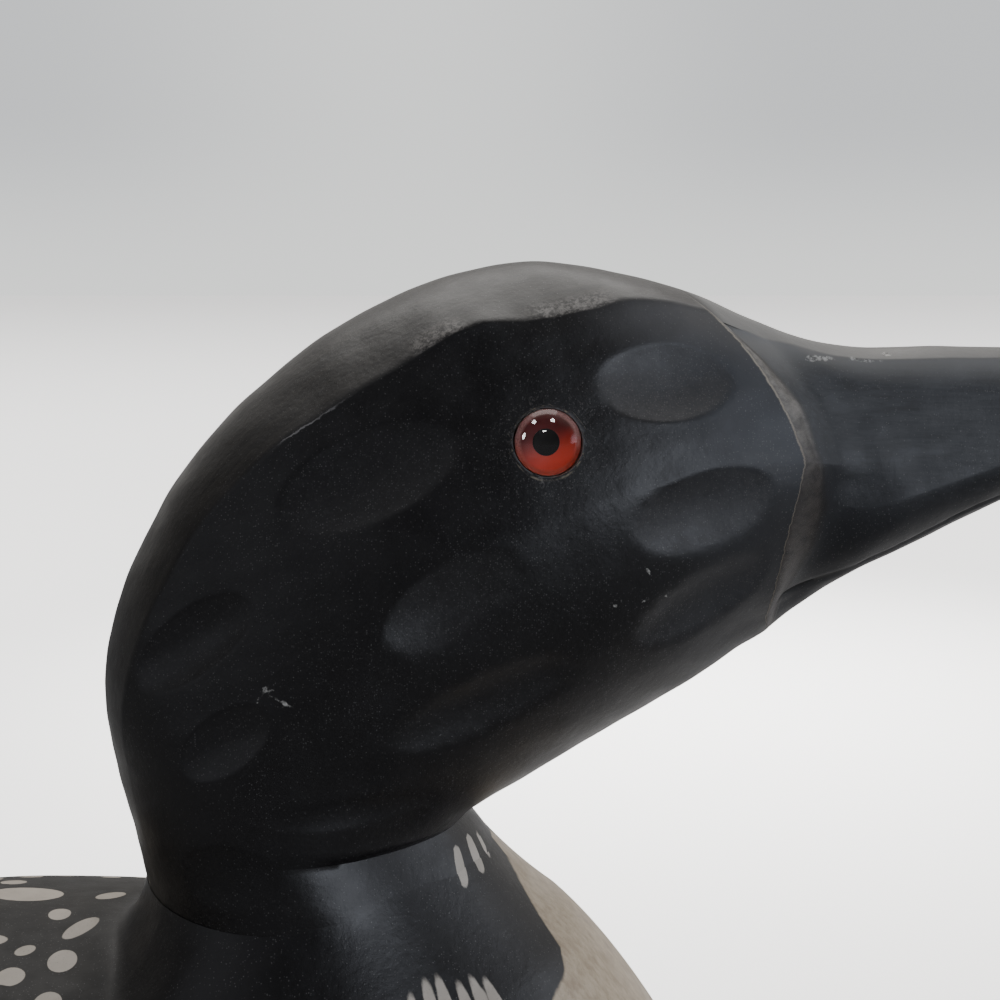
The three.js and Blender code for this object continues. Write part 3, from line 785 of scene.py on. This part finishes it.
def drill(piece, frame_matrix):
    """Drills an eye's seat into the head."""
    radius = EYE_DIAMETER / 2 + EYE_CLEARANCE
    cutter = lathe("cutter", drum(radius, -EYE_SEAT_DEPTH, CUTTER_TOP), frame_matrix)
    cut = piece.modifiers.new("seat", "BOOLEAN")
    cut.operation = "DIFFERENCE"
    cut.solver = "MANIFOLD"
    cut.object = cutter
    bpy.context.view_layer.update()
    graph = bpy.context.evaluated_depsgraph_get()
    mesh = bpy.data.meshes.new_from_object(piece.evaluated_get(graph))
    piece.modifiers.clear()
    piece.data = mesh
    bpy.data.objects.remove(cutter)
    mesh.materials.clear()
    mesh.set_sharp_from_angle(angle=SEAT_SHARP_ANGLE)


def glass_profile():
    """The profile of the eye's glass, from the middle of its flat back to the top of its dome."""
    radius = EYE_DIAMETER / 2
    ball = (radius**2 + EYE_DOME**2) / (2 * EYE_DOME)
    widest = math.asin(radius / ball)
    turns = [widest * k / DOME_STEPS for k in range(DOME_STEPS, -1, -1)]
    dome = [(ball * math.sin(t), EYE_DOME - ball * (1 - math.cos(t))) for t in turns]
    return [(0, -GLASS_BACK), (radius, -GLASS_BACK)] + dome


def eye_pieces(side, points, glass, iris, pupil):
    """A glass eye: a clear dome over a painted iris and a black pupil."""
    name = "right" if side < 0 else "left"
    place = eye_frame(points, side)
    aside = Matrix.Translation((-PUPIL_BEHIND * MM, 0, 0)) @ place
    parts = (
        ("glass", glass_profile(), glass, place),
        ("iris", drum(EYE_DIAMETER / 2 - IRIS_INSET, IRIS_BACK, IRIS_FACE), iris, place),
        ("pupil", drum(PUPIL_RADIUS, IRIS_FACE + PUPIL_BACK, IRIS_FACE + PUPIL_FACE), pupil, aside),
    )
    for kind, profile, surface, where in parts:
        piece = lathe(f"eye_{kind}_{name}", profile, where)
        piece.data.set_sharp_from_angle(angle=SHARP_ANGLE)
        piece.data.materials.append(surface)
        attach(piece, "root")
        if kind == "glass":
            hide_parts(f"eye_{name}")


def body_rows():
    """The body's rows in millimetres, with mirrored end rows, and the neck centre as origin."""
    rows = []
    for behind, half, top, power in BODY_ROWS:
        height = EDGE_HEIGHT + top * (SHELF_HEIGHT - BACK_DROP - EDGE_HEIGHT)
        rows.append([NECK_BEHIND_BREAST - behind * BODY_LENGTH, half * BODY_WIDTH / 2, height, power])
    flip = np.array([1, -1, 1, 1])
    return [list(np.array(rows[1]) * flip)] + rows + [list(np.array(rows[-2]) * flip)]


MIRRORED_ROWS = body_rows()
LAST_BODY_ROW = len(BODY_ROWS) - 1


def body_row(u):
    return rows_at(MIRRORED_ROWS, np.asarray(u) + 1)


FINE_BODY_ROWS = body_row(np.linspace(0, LAST_BODY_ROW, PLAN_LINES))


def back_surface(x, y):
    """The body's upper surface at a place in plan, without the shoulder round the neck."""
    known = FINE_BODY_ROWS[::-1]
    half, top, power = (np.interp(x, known[:, 0], known[:, k]) for k in (1, 2, 3))
    share = np.clip(np.abs(y) / np.maximum(half, 1e-6), 0, 1)
    return EDGE_HEIGHT + (top - EDGE_HEIGHT) * np.sqrt(1 - share**power)


def fillet_max(a, b, along):
    """The higher of two heights, with a round between them that widens behind the neck."""
    reach = FILLETS[0] + (FILLETS[1] - FILLETS[0]) * smooth_step(0.5, 0.8, along)[:, None]
    h = np.maximum(reach - np.abs(a - b), 0) / reach
    return np.maximum(a, b) + h * h * reach / 4


def shoulder_slope(along):
    """How steeply the shoulder falls away from the neck, from the breast at 0 to the back at 1."""
    breast, side, back = SHOULDER_SLOPES
    ahead = breast + (side - breast) * smooth_step(0.1, 0.5, along)
    behind = side + (back - side) * smooth_step(0.64, 0.9, along)
    return np.where(along < 0.5, ahead, behind)


def neck_steps(f):
    """The part and share of places round the neck, from the nape at 0 to the throat at 1."""
    place = np.asarray(f) * SEAM_STEPS.sum()
    edges = np.concatenate([[0], np.cumsum(SEAM_STEPS)])
    part = np.clip(np.searchsorted(edges, place, side="right") - 1, 0, 2)
    return part, (place - edges[part]) / SEAM_STEPS[part]


def seam_outline(f):
    """The neck's outline on the seam, from the nape at 0 to the throat at 1."""
    points, _ = head_points(True, np.array([0.0]), *neck_steps(f))
    return points[0]


def breast_distance(points, away):
    """The distance past the edge of the black paint, more than 0 on the cream breast and flanks."""
    angle, _ = around_neck(points)
    reaches = [np.interp(np.abs(angle + turn), *zip(*COLLAR)) for turn in COLLAR_TURNS]
    collar = np.mean(reaches, axis=0)
    drawn = collar * np.interp(angle, *zip(*LEFT_COLLAR))
    collar = np.where(points[..., 1] > 0, drawn, collar)
    return np.maximum(away - collar, FLANK_HEIGHT - points[..., 2])


def back_spots():
    """The back's spots: those listed one by one, then staggered rows over the rest."""
    spots = list(SPOTS)
    random = np.random.default_rng(SPOT_SEED)
    for row in SPOT_ROWS:
        for column in SPOT_COLUMNS:
            x = FIRST_SPOT_X - column * SPOT_SPACING / 2
            y = (row + 0.5 * (column % 2)) * SPOT_SPACING
            dx, dy = random.uniform(-SPOT_SHIFT, SPOT_SHIFT, 2)
            radius = SPOT_RADIUS * random.uniform(*SPOT_SIZES)
            gap = min(math.hypot(x + dx - spot[0], y + dy - spot[1]) for spot in SPOTS)
            by_hand = HAND_X[0] < x < HAND_X[1] and HAND_Y[0] < y < HAND_Y[1]
            if gap >= SPOT_APART * SPOT_SPACING and not by_hand:
                spots.append((x + dx, y + dy, radius, radius * SPOT_STRETCH, 0))
    return spots


def body_marks(points, away):
    """The distance from the nearest painted spot or bar, in millimetres."""
    distance = np.full(away.shape, UNMARKED)
    for x, y, *shape in back_spots():
        distance = np.minimum(distance, oval_distance(points[..., 0] - x, points[..., 1] - y, *shape))
    distance = np.where(away < CLEAR_OF_NECK, UNMARKED, distance)
    angle, radius = around_neck(points)
    for place, start in LOWER_BARS:
        across = np.radians(angle - place) * radius
        along = away - (start + LOWER_BAR_END) / 2
        bar = mark_distance(across, along, BAR_WIDTH / 2, (LOWER_BAR_END - start) / 2, BLUNTNESS)
        distance = np.minimum(distance, bar)
    distance = np.where(points[..., 2] < FLANK_HEIGHT + CLEAR_OF_FLANK, UNMARKED, distance)
    return np.minimum(distance, neck_marks(points - np.array([0, 0, SHELF_HEIGHT])))


def with_fillet(half, away, places):
    """The body's lines and their distances, with paint and filler rounding the neck's corner."""
    skip = int(np.argmax(away[:, 0] > FILLER_REACH))
    corner, outer = half[0], half[skip]
    part, share = neck_steps(places)
    low, high = FILLER_HEIGHTS
    rise = (low + (high - low) * smooth_step(0.5, 0.95, places)) / HEAD_ROWS[0][3]
    singles = ((rise[k : k + 1], part[k : k + 1], share[k : k + 1]) for k in range(len(places)))
    wall = np.array([head_points(True, *single)[0][0, 0] for single in singles])
    wall[:, 2] += SHELF_HEIGHT
    outwards = outer - corner
    outwards[:, 2] = 0
    wall += PAINTED_GAP * outwards / np.linalg.norm(outwards, axis=1, keepdims=True)
    t = np.linspace(0, 1, FILLER_LINES)[:, None, None]
    filled = (1 - t) ** 2 * wall + 2 * t * (1 - t) * corner + t**2 * outer
    row = np.linspace(0, skip, FILLER_LINES)
    above = np.floor(row).astype(int)
    below = np.minimum(above + 1, skip)
    bare = half[above] + (half[below] - half[above]) * (row - above)[:, None, None]
    bare += (1 - t) ** LIP_FADE * (wall - corner)
    curve = bare + smooth_step(*FILLED, places)[:, None] * (filled - bare)
    reach = np.linspace(0, FILLER_REACH, FILLER_LINES)[:, None] * np.ones(len(places))
    lines = np.concatenate([corner[None], curve, half[skip + 1 :]])
    fields = np.concatenate([0 * reach[:1], reach, away[skip + 1 :]])
    return lines, fields


def body_surface():
    """The body's right half as a grid of points, with their distance from the neck."""
    u = np.linspace(0, LAST_BODY_ROW, BODY_LINES)
    along = u / LAST_BODY_ROW
    neck = seam_outline(1 - along)[:, :2]
    edge = body_row(u)[:, :2] * np.array([1, -1])
    outwards = edge - neck
    reach = np.hypot(*outwards.T)[:, None]
    near = SHOULDER_SPREAD / reach
    close = near * np.linspace(0, 1, SHOULDER_LINES)
    far = near + (1 - near) * np.sin((math.pi / 2) * np.linspace(0, 1, BACK_LINES)[1:])
    f = np.concatenate([close, far], axis=1)
    x, y = (neck[:, k, None] + outwards[:, k, None] * f for k in (0, 1))
    away = f * reach
    sloped = shoulder_slope(along)[:, None] * away * (1 + away / SHOULDER_REACH)
    round_breast = (1 - smooth_step(*BREAST_FADE, along))[:, None]
    curved = BREAST_CURVE[0] * away + BREAST_CURVE[1] * away**2
    shoulder = SHELF_HEIGHT - sloped + round_breast * (sloped - curved)
    z = np.minimum(fillet_max(shoulder, back_surface(x, y), along), SHELF_HEIGHT)
    z[:, -1] = EDGE_HEIGHT
    top = np.stack([x, y, z], axis=2)
    turn = (math.pi / 2) * np.linspace(0, 1, ROLL_LINES)[1:]
    inset = 2 * UNDERSIDE_INSET * (1 - np.cos(turn))
    roll_x = BODY_MIDDLE_X + (edge[:, :1] - BODY_MIDDLE_X) * (1 - inset / BODY_LENGTH)[None, :]
    roll_y = edge[:, 1:2] * (1 - inset / BODY_WIDTH)[None, :]
    roll_z = np.broadcast_to(EDGE_HEIGHT * (1 - np.sin(turn))[None, :], roll_x.shape)
    under = np.stack([roll_x, roll_y, roll_z], axis=2)
    under[:, -1, 2] = 0
    half = np.concatenate([top, under], axis=1).transpose(1, 0, 2)
    away_below = np.broadcast_to(away[:, -1:] + EDGE_HEIGHT, roll_x.shape)
    return with_fillet(half, np.concatenate([away, away_below], axis=1).T, 1 - along)


def body_piece():
    """The breast and shoulders below the seam."""
    half, away_half = body_surface()
    full = mirrored(half, SIDE_FLIP)
    away = mirrored(away_half)
    attributes = {"breast": breast_distance(full, away), "mark": body_marks(full, away), "away": away}
    ends = ((0, 0, SHELF_HEIGHT), (BODY_MIDDLE_X, 0, 0))
    piece = mesh_object("shoulders", full, *ends, attributes, (NECK_X, 0, 0))
    piece.data.set_sharp_from_angle(angle=SHARP_ANGLE)
    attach(piece, "root")
    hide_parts("body")
    return piece


def camera():
    """The photograph's camera, which looks from the right side and a little downwards."""
    data = bpy.data.cameras.new("camera")
    data.sensor_width = SENSOR_WIDTH
    data.lens = SENSOR_WIDTH * FOCAL_PIXELS / IMAGE_PIXELS
    data.clip_start = 0.01
    eye = add_object("camera", data)
    target = Vector((NECK_X + VIEW_CENTRE[0], 0, HEAD_SEAT + VIEW_CENTRE[1]))
    back = Vector((0, -math.cos(VIEW_PITCH), math.sin(VIEW_PITCH)))
    eye.location = (target + back * VIEW_DISTANCE) * MM
    eye.rotation_euler = (math.pi / 2 - VIEW_PITCH, 0, 0)
    bpy.context.scene.camera = eye


class Nodes:
    """Short calls that build the nodes of a material or of the world."""

    def __init__(self, owner):
        owner.use_nodes = True
        self.tree = owner.node_tree
        self.shader = self.tree.nodes.get("Principled BSDF")
        self.colour = PITCH_BLACK

    def put(self, socket, value):
        if isinstance(value, bpy.types.NodeSocket):
            self.tree.links.new(value, socket)
        elif isinstance(value, tuple) and len(value) == 3 and len(socket.default_value) == 4:
            socket.default_value = (*value, 1)
        else:
            socket.default_value = value

    def node(self, kind, inputs=(), **settings):
        node = self.tree.nodes.new(kind)
        for key, value in settings.items():
            setattr(node, key, value)
        for key, value in dict(inputs).items():
            self.put(node.inputs[key], value)
        return node

    def math(self, operation, a, b=0.0):
        return self.node("ShaderNodeMath", {0: a, 1: b}, operation=operation).outputs[0]

    def join(self, operation, first, *others):
        for other in others:
            first = self.math(operation, first, other)
        return first

    def times(self, *factors):
        return self.join("MULTIPLY", *factors)

    def plus(self, *terms):
        return self.join("ADD", *terms)

    def vector(self, operation, a, b=(0, 0, 0)):
        outputs = self.node("ShaderNodeVectorMath", {0: a, 1: b}, operation=operation).outputs
        return outputs["Value" if operation in ("LENGTH", "DISTANCE") else "Vector"]

    def axes(self, vector):
        return self.node("ShaderNodeSeparateXYZ", {"Vector": vector}).outputs

    def ramp(self, value, low, high, bottom=0.0, top=1.0):
        """The value taken smoothly from low..high to bottom..top."""
        inputs = {"Value": value, "From Min": low, "From Max": high, "To Min": bottom, "To Max": top}
        return self.node("ShaderNodeMapRange", inputs, interpolation_type="SMOOTHSTEP").outputs[0]

    def ragged(self, distance, noise, amount):
        """The distance from an edge, made uneven by up to the amount."""
        return self.plus(distance, self.ramp(noise, 0.2, 0.8, -amount, amount))

    def line(self, distance, half_width, softness):
        """1 on the line where the distance is 0, falling to 0 beside it."""
        away = self.math("ABSOLUTE", distance)
        return self.ramp(away, half_width + softness, max(half_width - softness, 0))

    def mix(self, factor, a, b):
        node = self.node("ShaderNodeMix", data_type="RGBA")
        for index, value in ((0, factor), (6, a), (7, b)):
            self.put(node.inputs[index], value)
        return node.outputs[2]

    def between(self, value, low, high, first, last):
        """The first colour where the value is low, and the last one where it is high."""
        return self.mix(self.ramp(value, low, high), first, last)

    def lay(self, colour, *masks):
        """Lays a colour over the paint, as strongly as the masks' product says."""
        self.colour = self.mix(self.times(*masks), self.colour, colour)

    def noise(self, vector, scale, detail=4.0, roughness=0.55, distortion=0.0):
        inputs = {"Vector": vector, "Scale": scale, "Detail": detail, "Roughness": roughness}
        inputs["Distortion"] = distortion
        return self.node("ShaderNodeTexNoise", inputs).outputs["Fac"]

    def place(self, scale=None):
        """The object's coordinates in metres, scaled along each axis where a scale is given."""
        place = self.node("ShaderNodeTexCoord").outputs["Object"]
        if scale:
            place = self.node("ShaderNodeMapping", {"Vector": place, "Scale": scale}).outputs[0]
        return place

    def value(self, name):
        return self.node("ShaderNodeAttribute", attribute_name=name).outputs["Fac"]

    def bump(self, height):
        inputs = {"Height": height, "Distance": BUMP_DISTANCE, "Strength": BUMP_STRENGTH}
        self.put(self.shader.inputs["Normal"], self.node("ShaderNodeBump", inputs).outputs[0])

    def set(self, **values):
        for key, value in values.items():
            self.put(self.shader.inputs[key.replace("_", " ")], value)


def material(name):
    made = bpy.data.materials.new(name)
    return made, Nodes(made)


def dust(n, amount):
    """Fine light specks: many where the amount is high."""
    specks = []
    for scale, size, share in SPECKS:
        cells = n.node("ShaderNodeTexVoronoi", {"Vector": n.place(), "Scale": scale})
        drawn, strength, _ = n.node("ShaderNodeSeparateColor", {"Color": cells.outputs["Color"]}).outputs
        near = n.ramp(cells.outputs["Distance"], size, 0.4 * size)
        chosen = n.math("GREATER_THAN", n.times(amount, share), drawn)
        specks.append(n.times(near, chosen, n.ramp(strength, 0.0, 1.0, 0.3, 1.0)))
    return n.join("MAXIMUM", *specks)


def black_paint(n):
    """The satin black of the head, the neck and the shoulders."""
    return n.between(n.noise(n.place(), 90.0), 0.35, 0.7, *BLACK)


def satin(n):
    """The roughness of satin paint."""
    return n.ramp(n.noise(n.place(), 220.0), 0.3, 0.7, 0.33, 0.41)


def splinters(n):
    return n.noise(n.place(), 1500.0, 3.0, 0.7)


def painted_brow_highlight(n, row, crease, middle, reach):
    """A painted highlight on the facet just above the brow's edge, mottled like bare wood."""
    along = n.ramp(n.math("ABSOLUTE", n.math("SUBTRACT", row, middle)), reach, 0.45 * reach)
    return n.times(along, n.ramp(crease, -4.4, -1.8), n.ramp(crease, 0.15, -0.2))


def brow_paint(n, row, crease):
    """Streaks on the facet above the brow's edge, and its painted highlights."""
    streak_place = n.node("ShaderNodeCombineXYZ", {"X": n.times(crease, 1.1), "Y": row}).outputs[0]
    streaks = n.noise(streak_place, 1.0, 5.0, 0.6)
    n.lay(STREAK, n.ramp(crease, 0.2, -1.5), n.ramp(streaks, 0.35, 0.7, 0.1, 0.8))
    painted_highlights = n.join("MAXIMUM", *(painted_brow_highlight(n, row, crease, *patch) for patch in BROW_HIGHLIGHTS))
    # Painted highlights above the brow's edge, mottled like bare wood
    n.lay(BROW_HIGHLIGHT_COLOUR, painted_highlights, n.ramp(splinters(n), 0.38, 0.62), 0.55)


def haze_and_sheen_paint(n, haze_and_sheen, crease, mottle):
    """A rubbed finish behind the step with a painted blue-grey sheen, darker further down."""
    upper, middle, lower = HAZES_AND_SHEENS
    bluish = n.between(crease, 3.0, 14.0, upper, middle)
    bluish = n.between(crease, 22.0, 36.0, bluish, lower)
    n.lay(bluish, haze_and_sheen, n.ramp(mottle, 0.3, 0.7, 0.6, 0.9))


def bill_paint(n, ahead, crease):
    """The slate bill, with a painted highlight along its top and painted shade below."""
    bill = n.ramp(ahead, 1.0, 4.0)
    grain = n.noise(n.place((14, 160, 160)), 9.0, 6.0, 0.7)
    slate = n.between(grain, 0.3, 0.75, *SLATE)
    # Painted shade on the bill's lower part
    n.lay(n.between(crease, 12.0, 26.0, slate, LOWER_BILL_SHADE), bill)
    # A painted highlight along the bill's top
    highlight_reach = n.ramp(ahead, 2.0, 18.0, 13.0, 5.0)
    n.lay(BILL_TOP_HIGHLIGHT, bill, n.ramp(n.math("DIVIDE", crease, highlight_reach), 1.0, -0.1), 0.9)


def step_paint(n, ahead, down):
    """The rough bare wood of the step, with its pale edge, painted paler in its upper half as painted
    light and with painted shade at its foot and lower end; returns the wood's relief.
    """
    rough = n.noise(n.place((1, 1, 2.5)), 300.0, 8.0, 0.75)
    inside = n.math("DIVIDE", ahead, n.value("wall"))
    wall = n.times(n.ramp(ahead, -0.1, 0.1), n.ramp(inside, 1.25, 0.95), n.ramp(down, 0.02, 0.08))
    # Painted light: the step's upper half is paler
    upper = n.ramp(down, 0.55, 0.3)
    pale = n.between(down, 0.7, 0.9, n.mix(upper, *STEP_PALE), STEP_END_SHADE)
    bare = n.between(rough, 0.34, 0.66, n.mix(upper, *STEP_DARK), pale)
    # Painted shade at the step's foot
    foot = n.ramp(inside, 0.75, 1.1, 0.0, 0.9)
    n.lay(n.mix(foot, bare, n.mix(upper, *STEP_FOOT_SHADE)), wall)
    thinner = n.ramp(down, 0.42, 0.56, 1.0, 2.2)
    edge = n.line(n.times(n.ragged(ahead, rough, 0.22), thinner), 0.16, 0.14)
    edge = n.times(edge, n.ramp(down, 0.03, 0.12), n.ramp(down, 0.99, 0.9))
    # The pale edge, paler in its upper half as painted light
    n.lay(n.mix(upper, *STEP_EDGE), edge, n.ramp(rough, 0.25, 0.5, 0.3, 0.95))
    return n.times(wall, rough, 2.0)


def eye_surround(n, near_eye, fine, mottle):
    """Fibres of dust round the eye, and the pale lip of its seat."""
    fibres = n.ramp(n.noise(n.place(), 900.0, 3.0, 0.6, 2.5), 0.55, 0.72)
    n.lay(FIBRES, fibres, near_eye, n.ramp(mottle, 0.35, 0.6, 0.1, 0.5))
    lip = n.line(n.math("SUBTRACT", n.value("eye"), 4.85), 0.1, 0.12)
    n.lay(EYE_LIP, lip, n.ramp(fine, 0.45, 0.6, 0.1, 0.9), 0.8)


def head_paint():
    """The head's satin black paint: dusty in its scoops and worn along its edges, with painted
    highlights, a painted sheen and painted shade.
    """
    made, n = material("head_paint")
    mottle = n.noise(n.place(), 90.0)
    fine = n.noise(n.place(), 700.0, 6.0, 0.65)
    ahead, crease, row = (n.value(name) for name in ("ahead", "crease", "row"))
    hollow = n.times(n.value("scoop"), n.ramp(fine, 0.3, 0.7, 0.5, 1.0))
    # Where the rubbed finish and its painted sheen lie, behind the step and below the brow
    haze_and_sheen = n.times(n.ramp(ahead, -24.0, -7.0), n.ramp(crease, -3.0, 2.0))
    near_eye = n.ramp(n.value("eye"), 10.0, 4.6)

    n.colour = black_paint(n)
    n.lay(GRIT, n.ramp(n.noise(n.place(), 2600.0, 2.0), 0.5, 0.72), n.plus(0.12, hollow), 0.3)
    brow_paint(n, row, crease)
    haze_and_sheen_paint(n, haze_and_sheen, crease, mottle)
    # Dust in the scoops; in their lower halves it also paints the light on their lower walls
    n.lay(SCOOP_DUST, hollow, 0.8)
    bill_paint(n, ahead, crease)
    relief = step_paint(n, ahead, n.value("down"))

    # A pale line along a stretch of the brow's edge: worn paint with a painted highlight
    worn = n.line(n.ragged(crease, fine, 0.3), 0.1, 0.12)
    stretch = n.times(n.ramp(row, 5.6, 5.9), n.ramp(row, 6.65, 6.35))
    n.lay(WORN_EDGE_HIGHLIGHT, worn, stretch, n.ramp(mottle, 0.3, 0.5))
    n.lay(PITCH_BLACK, n.line(n.value("slit"), 0.12, 0.16), n.ramp(ahead, 0.8, 2.0))
    torn = n.plus(n.value("chip"), n.ramp(fine, 0.2, 0.8, -0.25, 0.35))
    n.lay(n.between(splinters(n), 0.35, 0.62, *TORN_WOOD), n.ramp(torn, 0.12, -0.08))
    painted = n.ragged(n.value("mark"), fine, 0.05)
    n.lay(n.between(mottle, 0.3, 0.7, *DABS), n.ramp(painted, 0.08, -0.08))
    eye_surround(n, near_eye, fine, mottle)

    patchy = n.ramp(n.noise(n.place(), 60.0, 3.0), 0.35, 0.7, 0.07, 0.3)
    amount = n.plus(patchy, n.times(hollow, 0.25), n.times(near_eye, 0.15))
    n.lay(DUST, dust(n, amount), 0.42)
    dusty = n.math("MAXIMUM", n.times(hollow, 0.2), n.times(haze_and_sheen, 0.12))
    n.set(Base_Color=n.colour, Roughness=n.plus(satin(n), dusty))
    n.bump(n.plus(fine, relief))
    return made


def body_paint():
    """The shoulders' paint: black with pale spots and bars, and an antiqued cream breast."""
    made, n = material("body_paint")
    fine = n.noise(n.place(), 700.0, 6.0, 0.65)
    mottle = n.noise(n.place(), 60.0, 5.0, 0.6)
    back = n.times(n.ramp(n.axes(n.place())[X], -0.03, -0.05), n.ramp(n.value("away"), 2.0, 9.0))
    n.colour = black_paint(n)
    n.lay(n.between(mottle, 0.35, 0.7, *WORN_BLACK), back)
    painted = n.ragged(n.value("mark"), fine, 0.03)
    n.lay(n.between(mottle, 0.3, 0.7, *DABS), n.ramp(painted, 0.08, -0.08))
    strokes = n.noise(n.place((60, 60, 8)), 9.0, 6.0, 0.7)
    border = n.ragged(n.value("breast"), fine, 0.1)
    n.lay(n.between(strokes, 0.3, 0.7, *CREAM), n.ramp(border, -0.25, 0.25))
    n.lay(DUST, dust(n, 0.12), 0.5)
    n.set(Base_Color=n.colour, Roughness=n.plus(satin(n), n.times(back, 0.25)))
    n.bump(fine)
    return made


def glass_material():
    made, n = material("eye_glass")
    n.set(Base_Color=(1.0, 0.97, 0.96), Roughness=0.0, IOR=1.5, Transmission_Weight=1.0)
    return made


def iris_material():
    """The painted iris: dark red above as painted shade, orange-red below as painted light, with a pale
    speckled rim that is paler at the top as a painted reflection.
    """
    made, n = material("iris")
    flat = n.vector("MULTIPLY", n.place(), (1 / MM, 1 / MM, 0))
    across, up, _ = n.axes(flat)
    # Painted shade above and painted light below
    n.colour = n.between(n.plus(up, n.times(across, -0.35)), 1.6, -2.8, *IRIS_SHADE_TO_LIGHT)
    speckle = n.ramp(n.noise(flat, 3.5, 4.0, 0.7), 0.3, 0.6, 0.45, 1.0)
    # The pale rim, paler at the top as a painted reflection
    n.lay(n.between(up, -2.5, 1.5, *IRIS_RIM_AND_REFLECTION), n.ramp(n.vector("LENGTH", flat), 3.2, 3.75), speckle)
    n.set(Base_Color=n.colour, Roughness=0.4)
    return made


def pupil_material():
    made, n = material("pupil")
    n.set(Base_Color=PITCH_BLACK, Roughness=0.3)
    return made


def lamp():
    """A broad soft lamp above and behind the bird's far side."""
    data = bpy.data.lights.new("above", "AREA")
    data.shape = "RECTANGLE"
    data.size = LAMP_SIZE
    data.size_y = LAMP_SIZE
    data.energy = LAMP_POWER
    data.color = LAMP_COLOUR
    made = add_object("above", data)
    made.location = LAMP_PLACE
    made.rotation_euler = (Vector(LAMP_TARGET) - Vector(LAMP_PLACE)).to_track_quat("-Z", "Y").to_euler()


def floor_piece():
    """The plain floor, which the camera sees pale all over."""
    mesh = bpy.data.meshes.new("floor")
    half = FLOOR_SIZE / 2
    corners = [(-half, -half, 0), (half, -half, 0), (half, half, 0), (-half, half, 0)]
    mesh.from_pydata(corners, [], [(0, 1, 2, 3)])
    floor = add_object("floor", mesh)
    made, n = material("floor")
    x, y, _ = n.axes(n.place())
    nearness = n.math("SQRT", n.math("DIVIDE", 1.0, n.vector("LENGTH", n.place())))
    seen = n.node("ShaderNodeLightPath").outputs["Is Camera Ray"]
    lit = n.times(n.ramp(y, -0.09, 0.07), n.ramp(x, -0.25, -0.05))
    n.set(Base_Color=n.mix(seen, n.mix(lit, DARK_FLOOR, FLOOR), FLOOR), Roughness=0.8)
    pale = n.ramp(nearness, 0.2, 0.9, 0.82, 1.87)
    glow = n.ramp(n.vector("DISTANCE", n.place(), GLOW_PLACE), 0.32, 0.0, 0.0, 2.4)
    n.set(Emission_Color=FLOOR_GLOW, Emission_Strength=n.times(seen, n.plus(pale, glow)))
    mesh.materials.append(made)


def world():
    """A soft surround, bright above and behind and dim on the camera's side; the camera sees it pale."""
    made = bpy.data.worlds.new("world")
    bpy.context.scene.world = made
    n = Nodes(made)
    direction = n.node("ShaderNodeTexCoord").outputs["Generated"]
    axes = n.axes(direction)
    x, y, z = axes

    def patch(bounds):
        return n.times(*(n.ramp(axes[axis], low, high) for axis, low, high in bounds))

    left = n.ramp(x, -0.86, -0.5, 0.05, 1.0)
    behind = n.times(n.ramp(y, -0.3, 0.35, 0.0, TENT), left)
    above = n.times(n.ramp(z, 0.3, 0.85, 0.0, TENT), n.times(n.ramp(y, -0.4, 0.1), left))
    tent = n.plus(n.math("MAXIMUM", behind, above), n.ramp(z, -0.15, 0.3, *DIM_SIDE))
    surround = n.mix(tent, (0.0, 0.0, 0.0), TENT_COLOUR)

    mirrored_light = n.mix(patch(SHARP_WINDOW), surround, WINDOW)
    for place, size in GLINTS:
        apart = n.vector("LENGTH", n.vector("DIVIDE", n.vector("SUBTRACT", direction, place), size))
        mirrored_light = n.mix(n.ramp(apart, 1.15, 0.7), mirrored_light, GLINT)

    soft = n.math("MAXIMUM", patch(BESIDE), n.times(patch(AHEAD), FRONT_GLOW))
    spread = n.mix(patch(REAR), n.mix(soft, surround, SOFT_WINDOW), REAR_GLOW)
    rays = n.node("ShaderNodeLightPath").outputs
    light = n.mix(rays["Is Singular Ray"], spread, mirrored_light)
    middle = n.ramp(n.math("ABSOLUTE", n.plus(x, 0.05)), 0.26, 0.0, 0.0, 0.7)
    backdrop = n.mix(middle, n.between(z, -0.02, 0.11, HORIZON, BACKDROP), HORIZON)
    n.put(n.tree.nodes["Background"].inputs["Color"], n.mix(rays["Is Camera Ray"], light, backdrop))


def main():
    camera()
    head_piece().data.materials.append(head_paint())
    body_piece().data.materials.append(body_paint())
    points = head_surface()[0]
    eye_paints = (glass_material(), iris_material(), pupil_material())
    for side in (-1, 1):
        eye_pieces(side, points, *eye_paints)
    floor_piece()
    world()
    lamp()


main()
